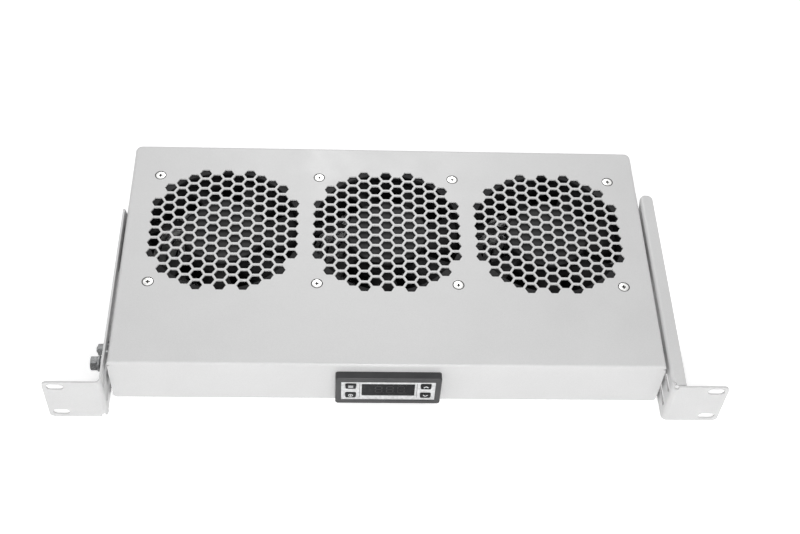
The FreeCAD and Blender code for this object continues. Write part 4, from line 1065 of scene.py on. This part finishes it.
class FANTRAY_OT_fasteners(bpy.types.Operator):
    """Turn and plate the screws, bolts, nuts and washers"""
    bl_idname = "fantray.fasteners"
    bl_label = "Plate the fasteners"

    def execute(self, context):
        zinc = plain("bright zinc plate")
        dress(zinc, "bracket_spacers", "inlet_screws", "inlet_nuts")
        for make, nodes in ((bracket_nuts, ("bracket_nuts", "earth_nuts")),
                            (bracket_bolts, ("bracket_bolts", "earth_bolt")),
                            (bracket_washers, ("bracket_washers", "earth_washers"))):
            for node in nodes:
                finished(make(node), "tray", "zinc_steel", zinc, node)
        screws = copies_in("fan_screws", countersunk_screw(first_height("fan_screws")), True)
        finished(screws, "tray", "bright_screw", screw_steel(), "fan_screws")
        screw = pan_head_screw(first_height("guard_screws") - M4_PAN_HEAD, M4_PAN_HEAD)
        set_in_place(screw, (0, 0, M4_PAN_HEAD), (math.pi, 0, 0))
        finished(copies_in("guard_screws", screw, False), "tray", "zinc_steel", zinc, "guard_screws")
        nuts = copies_in("fan_nuts", hex_block(M4_NUT_FLATS, M4_NUT_HEIGHT, M4_BORE), False)
        finished(nuts, "tray", "zinc_steel", zinc, "fan_nuts")
        dress(plain("passivated screw"), "thermostat_terminal_screws", "terminal_strip_screws")
        return {"FINISHED"}


class FANTRAY_OT_fans(bpy.types.Operator):
    """Finish the three fans, their labels and their finger guards"""
    bl_idname = "fantray.fans"
    bl_label = "Finish the fans"

    def execute(self, context):
        fans = context.scene.tray_fans
        dress(moulded("fan casting paint", fans.casting, 0.55, grain=0.0007, bump=0.25, bump_reach=0.0003,
                      dust=0.1, Specular_IOR_Level=0.12), *per_fan("fan_frame"))
        dress(moulded("fan blade plastic", fans.blades, 0.5, grain=0.0005, dust=0.15,
                      Specular_IOR_Level=0.15), *per_fan("impeller"))
        dress(plain("ground steel"), *per_fan("rotor_shaft"), *per_fan("bearings"))
        dress(plain("motor laminations"), *per_fan("motor_core"))
        dress(plain("enamelled copper"), *per_fan("motor_coils"))
        dress(metal("bright guard wire", fans.wire, 0.2, bump=0.05, marks=0.3), *per_fan("finger_guard"))
        for fan in FANS:
            disc, face = motor_label(fan)
            finished(disc, "tray", "silver_face", plain("foil label"))
            finished(label_print(fan, face), "tray", "silver_face", plain("grey print and painted shade"))
        return {"FINISHED"}


class FANTRAY_OT_thermostat(bpy.types.Operator):
    """Finish the thermostat, its keys and its probe"""
    bl_idname = "fantray.thermostat"
    bl_label = "Finish the thermostat"

    def execute(self, context):
        unit = context.scene.tray_thermostat
        dress(moulded("thermostat moulding", unit.moulding, 0.45, grain=0.0003, bump=0.2, marks=0.3),
              "thermostat_bezel", "thermostat_case")
        dress(metal("silver front film", unit.face, 0.42, lines=(0.03, 1.0, 1.0), width=0.00012,
                    metallic=0.1, bump=0.06), "thermostat_face")
        dress(moulded("smoked window", unit.window, 0.12, grain=0.002, bump=0.01, dust=0.6,
                      Specular_IOR_Level=0.1), "thermostat_display")
        dress(plain("key plastic"), *["button_" + key for key in KEYS])
        dress(plain("switch plastic"), "thermostat_switches")
        dress(plain("circuit laminate"), "thermostat_board", "thermostat_power_board")
        dress(plain("relay shell"), "thermostat_relay")
        dress(plain("terminal moulding"), "thermostat_terminals")
        dress(plain("clip moulding"), "thermostat_clips")
        dress(plain("stainless sleeve"), "temperature_probe")
        dress(plain("white nylon"), "probe_clip")
        for key in KEYS:
            finished(key_mark(key), "key_" + key, "silver_face", plain("white key print"))
        finished(unlit_digits(), "tray", "display_window", plain("unlit segment"))
        # the grey strips beside the display are painted shade for the ribs
        finished(painted_rib_shade(), "tray", "silver_face", plain("grey print and painted shade"))
        return {"FINISHED"}


class FANTRAY_OT_mains(bpy.types.Operator):
    """Finish the power inlet, the terminal strip and the leads"""
    bl_idname = "fantray.mains"
    bl_label = "Finish inlet and wiring"

    def execute(self, context):
        dress(plain("inlet moulding"), "inlet_body")
        dress(plain("nickelled brass"), "inlet_pins")
        dress(plain("white nylon"), "terminal_strip")
        brown, blue, black = sheath("brown", BROWN), sheath("blue", BLUE), sheath("black", BLACK)
        inlet_leads = split_leads("inlet_leads", ("live", "earth", "neutral"))
        unit_leads = split_leads("thermostat_leads", ("unit_c", "unit_b", "unit_a", "probe"))
        for piece, material in zip(inlet_leads + unit_leads,
                                   (brown, earth_sheath(), blue, black, blue, brown, black)):
            finished(piece, "tray", "lead_pvc", material)
        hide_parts("inlet_leads")
        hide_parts("thermostat_leads")
        dress(black, "fan_leads")
        return {"FINISHED"}


class FANTRAY_OT_stage(bpy.types.Operator):
    """Set the floor, the soft lights and the camera"""
    bl_idname = "fantray.stage"
    bl_label = "Set the stage"

    def execute(self, context):
        stage = context.scene.tray_stage
        lay_floor(stage.floor_size, CAD_BOX)
        hang_lights()
        set_camera(stage)
        return {"FINISHED"}


# ---- panel and registration ---------------------------------------------------------------

OPERATORS = (FANTRAY_OT_coat, FANTRAY_OT_fasteners, FANTRAY_OT_fans, FANTRAY_OT_thermostat, FANTRAY_OT_mains,
             FANTRAY_OT_stage)
SETTINGS = {"tray_coat": CoatSettings, "tray_fans": FanSettings, "tray_thermostat": ThermostatSettings,
            "tray_fasteners": FastenerSettings, "tray_stage": StageSettings}


class FANTRAY_PT_panel(bpy.types.Panel):
    """Lists the settings and the steps that dress the tray"""
    bl_idname = "FANTRAY_PT_panel"
    bl_label = "Rack fan tray"
    bl_space_type = "VIEW_3D"
    bl_region_type = "UI"
    bl_category = "Fan Tray"

    def draw(self, context):
        for name, kind in SETTINGS.items():
            box = self.layout.box()
            settings = getattr(context.scene, name)
            for prop in kind.__annotations__:
                box.prop(settings, prop)
        for operator in OPERATORS:
            self.layout.operator(operator.bl_idname)


def register():
    for kind in (*SETTINGS.values(), *OPERATORS, FANTRAY_PT_panel):
        bpy.utils.register_class(kind)
    for name, kind in SETTINGS.items():
        setattr(bpy.types.Scene, name, PointerProperty(type=kind))


def unregister():
    for name in SETTINGS:
        delattr(bpy.types.Scene, name)
    for kind in reversed((*SETTINGS.values(), *OPERATORS, FANTRAY_PT_panel)):
        bpy.utils.unregister_class(kind)


def main():
    register()
    for name in ("coat", "fasteners", "fans", "thermostat", "mains", "stage"):
        getattr(bpy.ops.fantray, name)()


if __name__ == "__main__":
    main()
